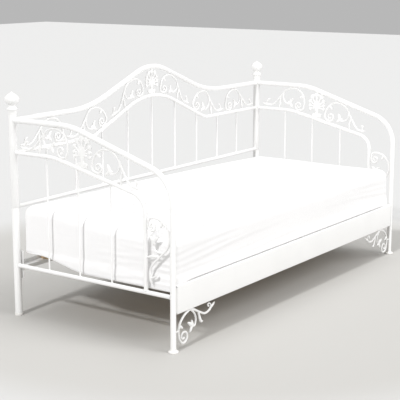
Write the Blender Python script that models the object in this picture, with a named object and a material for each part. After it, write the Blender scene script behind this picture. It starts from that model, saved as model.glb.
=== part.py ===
"""Steel daybed: arched back, swept arms, cast scroll ornaments, slatted deck and a sheeted mattress.

Metres, +Z up. +X runs along the bed, +Y points to the back. The origin is on the floor, under the
middle of the bed's outline. The two end panels and the back panel each hang on an empty of their own.
"""

import math

import bmesh
import bpy
from mathutils import Vector

# Clearances
GAP = 0.0003                  # air left between pieces that touch
BITE = 0.0006                 # how far an ornament reaches into its rail before it is coped

# Overall sizes
SPAN = 2.030                  # left post axis to right post axis
DEPTH = 0.896                 # rear post axis to front leg axis
DRAWN_DEPTH = 0.896           # the depth that lengths along the arms are given for; they stretch with DEPTH
ARM_TOP_Z = 0.911             # axis of the arm and back top rails where they meet the posts
INNER_RAIL_Z = 0.765          # axis of the second rail where it meets the posts
BACK_BOTTOM_Z = 0.515         # axis of the back panel's bottom rail
ARM_BOTTOM_Z = 0.2390         # axis of the end panels' bottom rail

# Tube radii and walls
POST_R = 0.019                # upper rear post
REAR_LEG_R = 0.0175           # lower rear leg
TUBE_R = 0.0125               # arm tube, front leg and back top rail
RAIL_R = 0.0095               # second rails and bottom rails
SPINDLE_R = 0.0040
TUBE_WALL = 0.0014
TUBE_SIDES = 12
RAIL_SIDES = 10
SPINDLE_SIDES = 8
ARC_STEP = math.radians(11)   # largest turn between two sections of a bent tube

# Rear post
POST_TOP_Z = 0.938
POST_SPLIT_Z = 0.512          # where the back panel's post stands on the lower leg
SPLICE_DEPTH = 0.060          # how far the leg's reduced end goes up into the post
SPLICE_TAPER = 0.004          # height over which the leg narrows under the post

# Finial, as radii and heights above the post top
BALL_R = 0.0335
BALL_HEIGHT = 0.058
NECK_R = 0.0165
NECK_Z = 0.043
COLLAR_R = 0.0265
COLLAR_Z = 0.024
SPIGOT_DEPTH = 0.018

# Feet
FRONT_FOOT_R = 0.0230
FRONT_FOOT_HEIGHT = 0.015
REAR_FOOT_R = 0.0190
REAR_FOOT_HEIGHT = 0.012
FOOT_PLUG = 0.015             # how far a foot's plug goes up into its tube
FOOT_EDGE = 0.0015

# Arm tube: level from the post, then falling, then bent down into the front leg
ARM_FLAT = 0.351
ARM_FALL = math.radians(17.5)
ARM_KNEE_R = 0.42
ARM_BEND_R = 0.160

# Second arm rail: the same shape further in, ending on the bottom rail
INNER_FLAT = 0.247
INNER_FALL = math.radians(13.4)
INNER_KNEE_R = 0.40
INNER_BEND_R = 0.080
RISER_OFFSET = 0.142          # from the front leg's axis to the riser's axis
ARM_SPINDLES = (0.202, 0.385, 0.567)   # from the post axis, towards the front

# Arched back
ARCH_HALF = 0.496             # where the top rail starts to climb, from the middle
ARCH_CLIMB = math.radians(21.2)
ARCH_VALLEY_R = 0.75
ARCH_PEAK_R = 0.33
INNER_ARCH_HALF = 0.479
INNER_ARCH_CLIMB = math.radians(23.3)
INNER_VALLEY_R = 0.15
INNER_PEAK_R = 0.47
BACK_SPINDLE_COUNT = 9
BACK_SPINDLE_PITCH = 0.200

# Cast ornaments
STRAND_R = 0.0042
STRAND_SIDES = 4
PLACE_STEPS = 12              # steps taken along the rails to reach a point of an ornament
MOTIF_GAP = 0.124             # clear height between the rails that the scroll is drawn for
BACK_SCROLLS = (0.157, 0.455, 0.765)   # middles of the scroll rings, from the middle of the back
ARM_SCROLL_A = 0.253          # middle of the level scroll's ring, from the post axis
ARM_SCROLL_B = 0.553          # middle of the sloping scroll's ring, from the post axis
LEG_SCROLL_Z = 0.486          # middle of the upright scroll's ring
ARM_SHELL = 0.412             # the arm's shell, from the post axis
SHELL_THICK = 0.0075
SHELL_LOBES = 9

# Side rails and their bolts
BOARD_BOTTOM_Z = 0.163
BOARD_HEIGHT = 0.122
BOARD_DEPTH = 0.020
BOARD_SHEET = 0.0020
SHELF_DEPTH = 0.046           # from the board's front face to the tip of its shelf
REAR_RAIL_BOTTOM_Z = 0.208
REAR_RAIL_HEIGHT = 0.048
REAR_RAIL_FLANGE = 0.040
REAR_RAIL_SHEET = 0.0030
DECK_SEAT_Z = 0.2400          # top of the front shelf and of the rear rail's flange
END_PLATE = 0.0050
END_PLATE_WIDTH = 0.042
FRONT_PLATE_INSET = 0.006     # from the board's edges to its end plates' edges
REAR_PLATE_HEIGHT = 0.130
REAR_PLATE_BOTTOM_Z = 0.175
BOLT_R = 0.0039
BOLT_HOLE_R = 0.0044
BOLT_HEAD_R = 0.0075
BOLT_HEAD = 0.0053
BOLT_HEAD_SIDES = 6
BOLT_REACH = 0.010            # shank past the end plate, into the leg
DRILL_RUN_OUT = 0.004         # how far a drilled hole runs past its plate and past its bolt
FRONT_BOLT_Z = 0.205
REAR_BOLT_Z = 0.190

# Deck and mattress
DECK_THICK = 0.018
DECK_SLATS = 14
SLAT_WIDTH = 0.060
DECK_BORDER = 0.055
DECK_END_ROOM = 0.150         # from the end panels' plane to the deck's ends
DECK_SIDE_ROOM = 0.003        # from the board's back edge to the deck
MATTRESS_END_ROOM = 0.0200    # from the end panels' plane to the sheet
MATTRESS_HEIGHT = 0.224
MATTRESS_CORNER = 0.050
MATTRESS_TOP_EDGE = 0.036
MATTRESS_LOW_EDGE = 0.014
MATTRESS_BACK_ROOM = 0.014    # from the back panel's spindles to the sheet
MATTRESS_OVERHANG = 0.012     # how far the mattress bulges out over the front board
MATTRESS_TUCK = 0.0035        # from the board's back edge to the mattress's lower part
SHEET_THICK = 0.0016
SHEET_HEM = 0.006             # hem above the board's top edge
PAD_CORNER_STEPS = 5
PAD_EDGE_STEPS = 3

# Places that follow from the sizes above
POST_Y = DEPTH / 2 - (BALL_R - FRONT_FOOT_R) / 2
LEG_Y = POST_Y - DEPTH
ARM_STRETCH = DEPTH / DRAWN_DEPTH
RISER_GAP = RISER_OFFSET * ARM_STRETCH - TUBE_R - RAIL_R
RISER_Y = LEG_Y + RISER_OFFSET * ARM_STRETCH
HALF_SPAN = SPAN / 2
BOARD_FRONT_Y = LEG_Y - BOARD_DEPTH / 2
SIDES = (("left", -1), ("right", 1))


# ---------------------------------------------------------------- outlines

def rounded(corners, radii):
    """Points of a bent line: straight runs between the corners, a true arc at each inner corner."""
    points = [Vector(corners[0])]
    for before, corner, after, radius in zip(corners, corners[1:], corners[2:], radii):
        corner = Vector(corner)
        back = (Vector(before) - corner).normalized()
        ahead = (Vector(after) - corner).normalized()
        turn = math.pi - back.angle(ahead)
        reach = radius * math.tan(turn / 2)
        start = corner + back * reach
        centre = corner + (back + ahead).normalized() * radius / math.cos(turn / 2)
        first = start - centre
        last = corner + ahead * reach - centre
        steps = max(2, math.ceil(turn / ARC_STEP))
        for step in range(steps + 1):
            share = step / steps
            blend = first * math.sin((1 - share) * turn) + last * math.sin(share * turn)
            points.append(centre + blend / math.sin(turn))
    points.append(Vector(corners[-1]))
    return points


def turn_points(centre, radii, angles, steps, late=1.0):
    """Points along an arc or, where the two radii differ, along a spiral. Angles are in degrees.

    A value of late above 1 keeps the first radius for longer before the spiral closes.
    """
    points = []
    for step in range(steps + 1):
        share = step / steps
        angle = math.radians(angles[0] + (angles[1] - angles[0]) * share)
        radius = radii[0] + (radii[1] - radii[0]) * share ** late
        points.append((centre[0] + radius * math.cos(angle), centre[1] + radius * math.sin(angle)))
    return points


def height_on(line, place):
    """Height of a bent line above a place along it, with its slope there."""
    for low, high in zip(line, line[1:]):
        if min(low.x, high.x) <= place <= max(low.x, high.x) and low.x != high.x:
            slope = (high.y - low.y) / (high.x - low.x)
            return low.y + slope * (place - low.x), slope
    raise ValueError("the place is off the line")


# ---------------------------------------------------------------- meshes

def finish_mesh(name, shape):
    """Turn an edited shape into a mesh whose faces point out and whose round faces shade smooth."""
    bmesh.ops.recalc_face_normals(shape, faces=shape.faces)
    mesh = bpy.data.meshes.new(name)
    shape.to_mesh(mesh)
    shape.free()
    mesh.shade_smooth()
    mesh.set_sharp_from_angle(angle=math.radians(50))
    return mesh


def add_rings(shape, rings, closed=False):
    """Add rings of points and the faces between them; gives the rings' vertices."""
    loops = [[shape.verts.new(point) for point in ring] for ring in rings]
    pairs = list(zip(loops, loops[1:]))
    if closed:
        pairs.append((loops[-1], loops[0]))
    for low, high in pairs:
        count = len(low)
        for index in range(count):
            ahead = (index + 1) % count
            shape.faces.new((low[index], low[ahead], high[ahead], high[index]))
    return loops


def sweep_rings(path, radii, sides, across):
    """Rings of a round bar along a flat path; across is the direction square to the path's plane."""
    rings = []
    for index, point in enumerate(path):
        before = path[max(index - 1, 0)]
        after = path[min(index + 1, len(path) - 1)]
        along = ((point - before).normalized() + (after - point).normalized()).normalized()
        lift = along.cross(across)
        ring = []
        for side in range(sides):
            angle = 2 * math.pi * side / sides
            ring.append(point + radii[index] * (math.cos(angle) * across + math.sin(angle) * lift))
        rings.append(ring)
    return rings


def bar(name, path, radius, sides, across):
    """Solid round bar along a path, with flat ends. The radius is one value or one for each point."""
    radii = radius if isinstance(radius, list) else [radius] * len(path)
    shape = bmesh.new()
    loops = add_rings(shape, sweep_rings(path, radii, sides, across))
    shape.faces.new(loops[0])
    shape.faces.new(loops[-1])
    return finish_mesh(name, shape)


def tube(name, path, radius, sides, across, wall=TUBE_WALL):
    """Round tube along a path, open at both ends."""
    outer = sweep_rings(path, [radius] * len(path), sides, across)
    inner = sweep_rings(path, [radius - wall] * len(path), sides, across)
    shape = bmesh.new()
    add_rings(shape, outer + inner[::-1], closed=True)
    return finish_mesh(name, shape)


def turned(name, profile, sides):
    """Solid turned about Z from a profile of radius and height, closed on the axis at both ends."""
    rings = []
    for radius, height in profile[1:-1]:
        spokes = [2 * math.pi * side / sides for side in range(sides)]
        rings.append([Vector((radius * math.cos(a), radius * math.sin(a), height)) for a in spokes])
    shape = bmesh.new()
    loops = add_rings(shape, rings)
    for loop, height in ((loops[0], profile[0][1]), (loops[-1], profile[-1][1])):
        tip = shape.verts.new((0, 0, height))
        for index, vertex in enumerate(loop):
            shape.faces.new((vertex, loop[(index + 1) % sides], tip))
    return finish_mesh(name, shape)


def slab(name, outline, start, end, to_point):
    """Flat outline pushed from start to end; to_point places an outline point at one of the two."""
    shape = bmesh.new()
    rings = [[to_point(a, b, depth) for a, b in outline] for depth in (start, end)]
    loops = add_rings(shape, rings)
    shape.faces.new(loops[0])
    shape.faces.new(loops[-1])
    mesh = finish_mesh(name, shape)
    mesh.shade_flat()
    return mesh


def block(name, low, high):
    """Plain box between two corners."""
    outline = ((low[0], low[1]), (high[0], low[1]), (high[0], high[1]), (low[0], high[1]))
    return slab(name, outline, low[2], high[2], lambda a, b, depth: (a, b, depth))


# ---------------------------------------------------------------- objects

def clear_scene():
    """Remove what the file holds already."""
    for thing in list(bpy.data.objects):
        bpy.data.objects.remove(thing, do_unlink=True)


def make_finish(name, colour, roughness, metallic=0.0):
    """Material with one colour, roughness and metallic value."""
    finish = bpy.data.materials.new(name)
    finish.use_nodes = True
    shader = finish.node_tree.nodes["Principled BSDF"]
    shader.inputs["Base Color"].default_value = (*colour, 1.0)
    shader.inputs["Roughness"].default_value = roughness
    shader.inputs["Metallic"].default_value = metallic
    return finish


def add_empty(name, place, parent=None):
    """Empty that carries a sub-assembly."""
    empty = bpy.data.objects.new(name, None)
    empty.location = place
    empty.parent = parent
    bpy.context.collection.objects.link(empty)
    return empty


def add_piece(name, mesh, finish, parent, place=(0, 0, 0)):
    """One sub-part under its assembly's empty."""
    piece = bpy.data.objects.new(name, mesh)
    if not mesh.materials:
        mesh.materials.append(finish)
    piece.location = place
    piece.parent = parent
    bpy.context.collection.objects.link(piece)
    return piece


def add_cutter(name, mesh, parent, place=(0, 0, 0)):
    """Hidden solid that other pieces are cut to."""
    cutter = bpy.data.objects.new(name, mesh)
    cutter.location = place
    cutter.parent = parent
    cutter.hide_render = True
    cutter.display_type = "WIRE"
    bpy.context.collection.objects.link(cutter)
    return cutter


def cope(piece, *cutters):
    """Cut a piece's ends to the shape of what it meets."""
    for cutter in cutters:
        cut = piece.modifiers.new("cope_" + cutter.name, "BOOLEAN")
        cut.operation = "DIFFERENCE"
        cut.object = cutter


def fused(name, meshes, solver="EXACT"):
    """One closed mesh from closed meshes that run into each other.

    Where many thin strands cross, the exact solver leaves open edges and the manifold one doesn't.
    """
    body = bpy.data.objects.new(name, meshes[0])
    bpy.context.collection.objects.link(body)
    joined = [body]
    for mesh in meshes[1:]:
        other = bpy.data.objects.new(name, mesh)
        bpy.context.collection.objects.link(other)
        joined.append(other)
        union = body.modifiers.new("union", "BOOLEAN")
        union.operation = "UNION"
        union.solver = solver
        union.object = other
    evaluated = body.evaluated_get(bpy.context.evaluated_depsgraph_get())
    result = bpy.data.meshes.new_from_object(evaluated)
    result.name = name
    for thing in joined:
        bpy.data.objects.remove(thing, do_unlink=True)
    return result


# ---------------------------------------------------------------- ornaments

def scroll_strands():
    """Strands of the cast scroll, as centre lines with a radius at each point.

    The first value runs along the rails, towards the scroll's eye; the second runs from the inner
    rail's surface, 0, to the outer rail's surface, MOTIF_GAP.
    """
    thin = STRAND_R * 0.80
    top = MOTIF_GAP - STRAND_R + BITE
    ring_r = 0.080
    ring = (0.0, top - ring_r)
    eye = (0.043, 0.0285)
    eye_r = eye[1] - STRAND_R + BITE
    tail = [(-0.208, 0.0200), (-0.190, 0.0165), (-0.168, 0.0140), (-0.144, 0.0150), (-0.118, 0.0310),
            (-0.088, 0.0620)]
    tail_r = [0.0016, 0.0062, 0.0066, 0.0040, STRAND_R, STRAND_R]
    hoop = turn_points(ring, (ring_r, ring_r), (134, -12), 9)
    link = [(0.0685, 0.0100)]
    volute = turn_points(eye, (eye_r, 0.0062), (-80, -530), 12)
    main = tail + hoop + link + volute
    main_r = tail_r + [STRAND_R] * (len(hoop) + 6) + [thin] * (len(volute) - 6) + [0.0050]
    branch = turn_points((-0.024, 0.0640), (0.0440, 0.0370), (138, 262), 5) + [(-0.016, 0.0340)]
    return (
        (main, main_r),
        (branch, [0.0030, thin, thin, thin, 0.0040, 0.0055, 0.0090]),
        ([(-0.024, 0.0340), (-0.013, 0.0450), (-0.003, 0.0570)], [0.0040, 0.0075, 0.0035]),
        ([(-0.022, 0.0320), (-0.011, 0.0220), (-0.002, 0.0130)], [0.0040, 0.0070, 0.0030]),
        ([(-0.083, 0.0660), (-0.084, 0.0480), (-0.086, 0.0260), (-0.091, 0.0060), (-0.092, -BITE)],
         [0.0026, 0.0052, 0.0074, 0.0040, 0.0034]),
        ([(0.0700, 0.0840), (0.0590, 0.0800), (0.0460, 0.0740)], [0.0026, 0.0060, 0.0036]),
        ([(-0.184, 0.0160), (-0.177, 0.0300), (-0.170, 0.0440), (-0.160, 0.0460)],
         [0.0034, 0.0048, 0.0060, 0.0040]),
    )


def corner_strands():
    """Strands of the scroll bracket under the front rail.

    The first value runs from the leg's surface along the rail, the second down from the rail.
    """
    thin = STRAND_R * 0.80
    tail = [(0.290, -0.0160), (0.275, -0.0250), (0.262, -0.0320), (0.250, -0.0410), (0.232, -0.0480),
            (0.209, -0.0480), (0.179, -0.0350), (0.150, -0.0200), (0.126, -0.0080)]
    tail_r = [0.0016, 0.0066, 0.0062, STRAND_R, STRAND_R, STRAND_R, STRAND_R, STRAND_R, STRAND_R]
    back = [(0.106, BITE - STRAND_R), (0.086, -0.0100), (0.062, -0.0210), (0.039, -0.0410),
            (0.026, -0.0640), (0.023, -0.0880), (0.029, -0.1150), (0.041, -0.1330)]
    volute = turn_points((0.059, -0.1130), (0.0275, 0.0060), (-108, 290), 10, 1.6)
    main = tail + back + volute
    main_r = tail_r + [STRAND_R] * (len(back) + 5) + [thin] * (len(volute) - 6) + [0.0050]
    branch = [(0.112, -0.0090), (0.137, -0.0290), (0.1475, -0.0570), (0.139, -0.0830),
              (0.118, -0.0790)]
    return (
        (main, main_r),
        (branch, [0.0030, thin, thin, 0.0056, 0.0095]),
        ([(0.122, -0.0800), (0.107, -0.0690), (0.091, -0.0600)], [0.0040, 0.0076, 0.0034]),
        ([(0.124, -0.0780), (0.114, -0.0920), (0.105, -0.1040)], [0.0040, 0.0070, 0.0032]),
        ([(0.163, -0.0270), (0.168, -0.0380), (0.179, -0.0640), (0.188, -0.0790), (0.200, -0.0790)],
         [0.0026, 0.0048, 0.0088, 0.0070, 0.0026]),
        ([(0.0275, -0.0600), (0.038, -0.0640), (0.050, -0.0710)], [0.0026, 0.0062, 0.0034]),
        ([(0.259, -0.0340), (0.259, -0.0210), (0.248, -0.0120), (0.236, -0.0150), (0.243, -0.0240)],
         [0.0034, 0.0034, 0.0032, 0.0032, 0.0040]),
        ([(-BITE, -0.0790), (0.022, -0.0790)], [0.0036, 0.0036]),
    )


def cast_scroll(name, strands, place, across):
    """Cast scroll from its strands; place puts a drawn point where it belongs between the rails."""
    bars = []
    for index, (points, radii) in enumerate(strands):
        path = [place(along, height) for along, height in points]
        bars.append(bar(f"{name}_{index}", path, radii, STRAND_SIDES, across))
    return fused(name, bars, "MANIFOLD")


def between_rails(inner, outer, start, stretch, to_point):
    """Place function for an ornament that follows the band between two bent rails.

    The ornament starts from one place along the band. Its lengths are multiplied by stretch, whose
    sign says which way it runs.
    """
    def middle(place):
        low, low_slope = height_on(inner, place)
        high, high_slope = height_on(outer, place)
        return (low + high) / 2, (low_slope + high_slope) / 2, (high - low) / 2

    def put(along, height):
        place = start
        for _ in range(PLACE_STEPS):
            slope = middle(place)[1]
            place += stretch * along / PLACE_STEPS * math.cos(math.atan(slope))
        centre, slope, half = middle(place)
        tilt = math.atan(slope)
        room = half * math.cos(tilt)
        share = height / MOTIF_GAP
        rise = share * (room - TUBE_R) - (1 - share) * (room - RAIL_R)
        return to_point(place - rise * math.sin(tilt), centre + rise * math.cos(tilt))

    return put


def shell_outline(height):
    """Outline of the shell ornament, a fan of round lobes on a small foot, from its base upwards."""
    hub = height * 0.44
    fan = []
    steps = SHELL_LOBES * 4
    for step in range(steps + 1):
        share = step / steps
        angle = math.radians(-32 + 244 * share)
        lobe = abs(math.sin(math.pi * SHELL_LOBES * share))
        long = 0.043 + (height - hub - 0.052 + BITE) * max(math.sin(angle), 0) ** 2
        radius = long + 0.009 * lobe
        fan.append((radius * math.cos(angle), hub + radius * math.sin(angle)))
    foot = ((-0.014, hub * 0.50), (-0.013, 0.014), (-0.026, 0.013), (-0.030, 0.006), (-0.024, -BITE),
            (0.024, -BITE), (0.030, 0.006), (0.026, 0.013), (0.013, 0.014), (0.014, hub * 0.50))
    return fan + list(foot)


# ---------------------------------------------------------------- assemblies

def arm_lines():
    """Axes of the arm tube and of the second rail, in the end panel's plane, as depth and height."""
    knee = POST_Y - ARM_FLAT * ARM_STRETCH
    bend_z = ARM_TOP_Z - math.tan(ARM_FALL) * (knee - LEG_Y)
    outer = rounded(
        ((POST_Y, ARM_TOP_Z), (knee, ARM_TOP_Z), (LEG_Y, bend_z), (LEG_Y, FRONT_FOOT_HEIGHT + GAP)),
        (ARM_KNEE_R, ARM_BEND_R))
    knee = POST_Y - INNER_FLAT * ARM_STRETCH
    bend_z = INNER_RAIL_Z - math.tan(INNER_FALL) * (knee - RISER_Y)
    inner = rounded(
        ((POST_Y, INNER_RAIL_Z), (knee, INNER_RAIL_Z), (RISER_Y, bend_z), (RISER_Y, ARM_BOTTOM_Z)),
        (INNER_KNEE_R, INNER_BEND_R))
    return outer, inner


def back_line(half, climb, level, valley_r, peak_r):
    """Axis of an arched back rail, as length and height."""
    peak_z = level + math.tan(climb) * half
    corners = ((-HALF_SPAN, level), (-half, level), (0, peak_z), (half, level), (HALF_SPAN, level))
    return rounded(corners, (valley_r, peak_r, valley_r))


def end_point(depth, height):
    """A point in an end panel's plane."""
    return Vector((0, depth, height))


def back_point(along, height):
    """A point in the back panel's plane."""
    return Vector((along, 0, height))


def finial_profile():
    """Turned profile of the finial: spigot, collar, neck and a ball with a slight point."""
    bore = POST_R - TUBE_WALL - GAP
    seat = GAP
    profile = [(0, -SPIGOT_DEPTH), (bore - 0.002, -SPIGOT_DEPTH), (bore, -SPIGOT_DEPTH + 0.003),
               (bore, seat), (POST_R, seat), (POST_R + 0.001, COLLAR_Z - 0.012), (COLLAR_R, COLLAR_Z),
               (NECK_R + 0.003, COLLAR_Z + 0.009), (NECK_R, NECK_Z)]
    widest = NECK_Z + BALL_HEIGHT * 0.46
    for step in range(1, 4):
        angle = math.radians(-58 + 29 * (step - 1))
        below = (widest - NECK_Z) / math.sin(math.radians(62))
        profile.append((BALL_R * math.cos(angle) ** 0.9, widest + below * math.sin(angle)))
    for share in (0.35, 0.68, 0.90):
        rise = share * (BALL_HEIGHT * 0.54 - 0.002)
        profile.append((BALL_R * (1 - share ** 1.9), widest + rise))
    profile.append((0.004, widest + BALL_HEIGHT * 0.54 - 0.002))
    profile.append((0, NECK_Z + BALL_HEIGHT))
    return profile


def build_end_panel(side, sign, paint, plastic):
    """One end panel: rear leg, arm tube with front leg, second rail, bottom rail and ornaments."""
    panel = add_empty(f"end_panel_{side}", (sign * HALF_SPAN, 0, 0))
    across = Vector((1, 0, 0))
    upright = Vector((0, 1, 0))
    outer, inner = arm_lines()
    outer_path = [end_point(*point) for point in outer]
    inner_path = [end_point(*point) for point in inner]
    bottom_path = [end_point(POST_Y, ARM_BOTTOM_Z), end_point(LEG_Y, ARM_BOTTOM_Z)]

    top_z = POST_SPLIT_Z + SPLICE_DEPTH
    splice_r = POST_R - TUBE_WALL - GAP
    leg_profile = ((REAR_LEG_R, REAR_FOOT_HEIGHT + GAP), (REAR_LEG_R, POST_SPLIT_Z - SPLICE_TAPER),
                   (splice_r, POST_SPLIT_Z - GAP), (splice_r, top_z))
    rings = []
    for inset in (0, TUBE_WALL):
        wall = [[Vector(((radius - inset) * math.cos(2 * math.pi * spoke / TUBE_SIDES),
                         (radius - inset) * math.sin(2 * math.pi * spoke / TUBE_SIDES), height))
                 for spoke in range(TUBE_SIDES)] for radius, height in leg_profile]
        rings += wall if inset == 0 else wall[::-1]
    shape = bmesh.new()
    add_rings(shape, rings, closed=True)
    leg_mesh = finish_mesh(f"rear_leg_{side}", shape)
    rear_leg = add_piece(f"rear_leg_{side}", leg_mesh, paint, panel, (0, POST_Y, 0))

    post_path = [Vector((0, 0, POST_SPLIT_Z)), Vector((0, 0, POST_TOP_Z))]
    post_mesh = tube(f"rear_post_{side}", post_path, POST_R, TUBE_SIDES, upright)
    add_piece(f"rear_post_{side}", post_mesh, paint, panel, (0, POST_Y, 0))
    finial_mesh = turned(f"finial_{side}", finial_profile(), TUBE_SIDES)
    add_piece(f"finial_{side}", finial_mesh, paint, panel, (0, POST_Y, POST_TOP_Z))

    arm_mesh = tube(f"arm_rail_{side}", outer_path, TUBE_R, TUBE_SIDES, across)
    arm_rail = add_piece(f"arm_rail_{side}", arm_mesh, paint, panel)
    inner_mesh = tube(f"arm_inner_rail_{side}", inner_path, RAIL_R, RAIL_SIDES, across)
    arm_inner = add_piece(f"arm_inner_rail_{side}", inner_mesh, paint, panel)
    bottom_mesh = tube(f"arm_bottom_rail_{side}", bottom_path, RAIL_R, RAIL_SIDES, across)
    arm_bottom = add_piece(f"arm_bottom_rail_{side}", bottom_mesh, paint, panel)

    keep_outs = {}
    post_axis = [Vector((0, 0, REAR_FOOT_HEIGHT)), Vector((0, 0, POST_TOP_Z))]
    post_room = bar(f"post_room_{side}", post_axis, POST_R + GAP, TUBE_SIDES, upright)
    keep_outs["post"] = add_cutter(f"post_room_{side}", post_room, panel, (0, POST_Y, 0))
    leg_axis = [Vector((0, 0, REAR_FOOT_HEIGHT)), Vector((0, 0, POST_SPLIT_Z))]
    leg_room = bar(f"leg_room_{side}", leg_axis, REAR_LEG_R + GAP, TUBE_SIDES, upright)
    keep_outs["leg"] = add_cutter(f"leg_room_{side}", leg_room, panel, (0, POST_Y, 0))
    rooms = (("outer", outer_path, TUBE_R, TUBE_SIDES), ("inner", inner_path, RAIL_R, RAIL_SIDES),
             ("bottom", bottom_path, RAIL_R, RAIL_SIDES))
    for name, path, radius, sides in rooms:
        room = bar(f"{name}_room_{side}", path, radius + GAP, sides, across)
        keep_outs[name] = add_cutter(f"{name}_room_{side}", room, panel)
    cope(arm_rail, keep_outs["post"])
    cope(arm_inner, keep_outs["post"], keep_outs["bottom"])
    cope(arm_bottom, keep_outs["leg"], keep_outs["outer"])

    for number, offset in enumerate(ARM_SPINDLES, 1):
        depth = POST_Y - offset * ARM_STRETCH
        top = height_on(inner, depth)[0]
        path = [end_point(depth, ARM_BOTTOM_Z), end_point(depth, top)]
        mesh = bar(f"arm_spindle_{side}_{number}", path, SPINDLE_R, SPINDLE_SIDES, across)
        spindle = add_piece(mesh.name, mesh, paint, panel)
        cope(spindle, keep_outs["inner"], keep_outs["bottom"])

    along_arm = between_rails(inner, outer, POST_Y - ARM_SCROLL_A * ARM_STRETCH, -ARM_STRETCH, end_point)
    down_arm = between_rails(inner, outer, POST_Y - ARM_SCROLL_B * ARM_STRETCH, ARM_STRETCH, end_point)

    def up_leg(along, height):
        return end_point(RISER_Y - RAIL_R - height * RISER_GAP / MOTIF_GAP, LEG_SCROLL_Z + along)

    for letter, place in (("a", along_arm), ("b", down_arm), ("c", up_leg)):
        name = f"arm_scroll_{side}_{letter}"
        scroll = add_piece(name, cast_scroll(name, scroll_strands(), place, across), paint, panel)
        cope(scroll, keep_outs["outer"], keep_outs["inner"])

    shell_y = POST_Y - ARM_SHELL * ARM_STRETCH
    base_z = height_on(inner, shell_y)[0] + RAIL_R
    tall = height_on(outer, shell_y)[0] - TUBE_R - base_z
    half = SHELL_THICK / 2
    shell_mesh = slab(f"arm_shell_{side}", shell_outline(tall), -half, half,
                      lambda a, b, depth: (depth, shell_y - a * ARM_STRETCH, base_z + b))
    shell = add_piece(shell_mesh.name, shell_mesh, paint, panel)
    cope(shell, keep_outs["outer"], keep_outs["inner"])

    edge = FOOT_EDGE
    foot_bore = REAR_LEG_R - TUBE_WALL - GAP
    rear_foot = ((0, 0), (REAR_FOOT_R - edge, 0), (REAR_FOOT_R, edge), (REAR_FOOT_R, REAR_FOOT_HEIGHT),
                 (foot_bore, REAR_FOOT_HEIGHT), (foot_bore, REAR_FOOT_HEIGHT + FOOT_PLUG),
                 (0, REAR_FOOT_HEIGHT + FOOT_PLUG))
    mesh = turned(f"rear_foot_{side}", rear_foot, TUBE_SIDES)
    add_piece(mesh.name, mesh, plastic, panel, (0, POST_Y, 0))
    foot_bore = TUBE_R - TUBE_WALL - GAP
    front_foot = ((0, 0), (FRONT_FOOT_R - edge, 0), (FRONT_FOOT_R, edge), (FRONT_FOOT_R, 0.0045),
                  (FRONT_FOOT_R - 0.003, 0.0075), (TUBE_R + 0.0022, 0.0105),
                  (TUBE_R + 0.0010, FRONT_FOOT_HEIGHT), (foot_bore, FRONT_FOOT_HEIGHT),
                  (foot_bore, FRONT_FOOT_HEIGHT + FOOT_PLUG), (0, FRONT_FOOT_HEIGHT + FOOT_PLUG))
    mesh = turned(f"front_foot_{side}", front_foot, TUBE_SIDES)
    add_piece(mesh.name, mesh, plastic, panel, (0, LEG_Y, 0))
    return rear_leg, arm_rail, keep_outs


def build_back_panel(paint, posts, arms):
    """Back panel: two arched rails, the bottom rail, spindles, scrolls and the middle shell.

    The rails are cut to the posts, and to the arm tubes in case those are wide enough to reach them.
    """
    panel = add_empty("back_panel", (0, POST_Y, 0))
    across = Vector((0, 1, 0))
    outer = back_line(ARCH_HALF, ARCH_CLIMB, ARM_TOP_Z, ARCH_VALLEY_R, ARCH_PEAK_R)
    inner = back_line(INNER_ARCH_HALF, INNER_ARCH_CLIMB, INNER_RAIL_Z, INNER_VALLEY_R, INNER_PEAK_R)
    bottom = [Vector((-HALF_SPAN, BACK_BOTTOM_Z)), Vector((HALF_SPAN, BACK_BOTTOM_Z))]
    rails = (("back_top_rail", outer, TUBE_R, TUBE_SIDES), ("back_inner_rail", inner, RAIL_R, RAIL_SIDES),
             ("back_bottom_rail", bottom, RAIL_R, RAIL_SIDES))
    rooms = {}
    for name, line, radius, sides in rails:
        path = [back_point(*point) for point in line]
        rail = add_piece(name, tube(name, path, radius, sides, across), paint, panel)
        cope(rail, *posts, *arms)
        room = bar(name + "_room", path, radius + GAP, sides, across)
        rooms[name] = add_cutter(name + "_room", room, panel)

    for number in range(1, BACK_SPINDLE_COUNT + 1):
        along = (number - (BACK_SPINDLE_COUNT + 1) / 2) * BACK_SPINDLE_PITCH
        path = [back_point(along, BACK_BOTTOM_Z), back_point(along, height_on(inner, along)[0])]
        mesh = bar(f"back_spindle_{number}", path, SPINDLE_R, SPINDLE_SIDES, across)
        spindle = add_piece(mesh.name, mesh, paint, panel)
        cope(spindle, rooms["back_inner_rail"], rooms["back_bottom_rail"])

    for side, sign in SIDES:
        for number, offset in enumerate(BACK_SCROLLS, 1):
            name = f"back_scroll_{side}_{number}"
            place = between_rails(inner, outer, sign * offset, -sign, back_point)
            scroll = add_piece(name, cast_scroll(name, scroll_strands(), place, across), paint, panel)
            cope(scroll, rooms["back_top_rail"], rooms["back_inner_rail"])

    base_z = height_on(inner, 0)[0] + RAIL_R
    tall = height_on(outer, 0)[0] - TUBE_R - base_z
    half = SHELL_THICK / 2
    mesh = slab("back_shell", shell_outline(tall), -half, half,
                lambda a, b, depth: (a, depth, base_z + b))
    shell = add_piece(mesh.name, mesh, paint, panel)
    cope(shell, rooms["back_top_rail"], rooms["back_inner_rail"])


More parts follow.
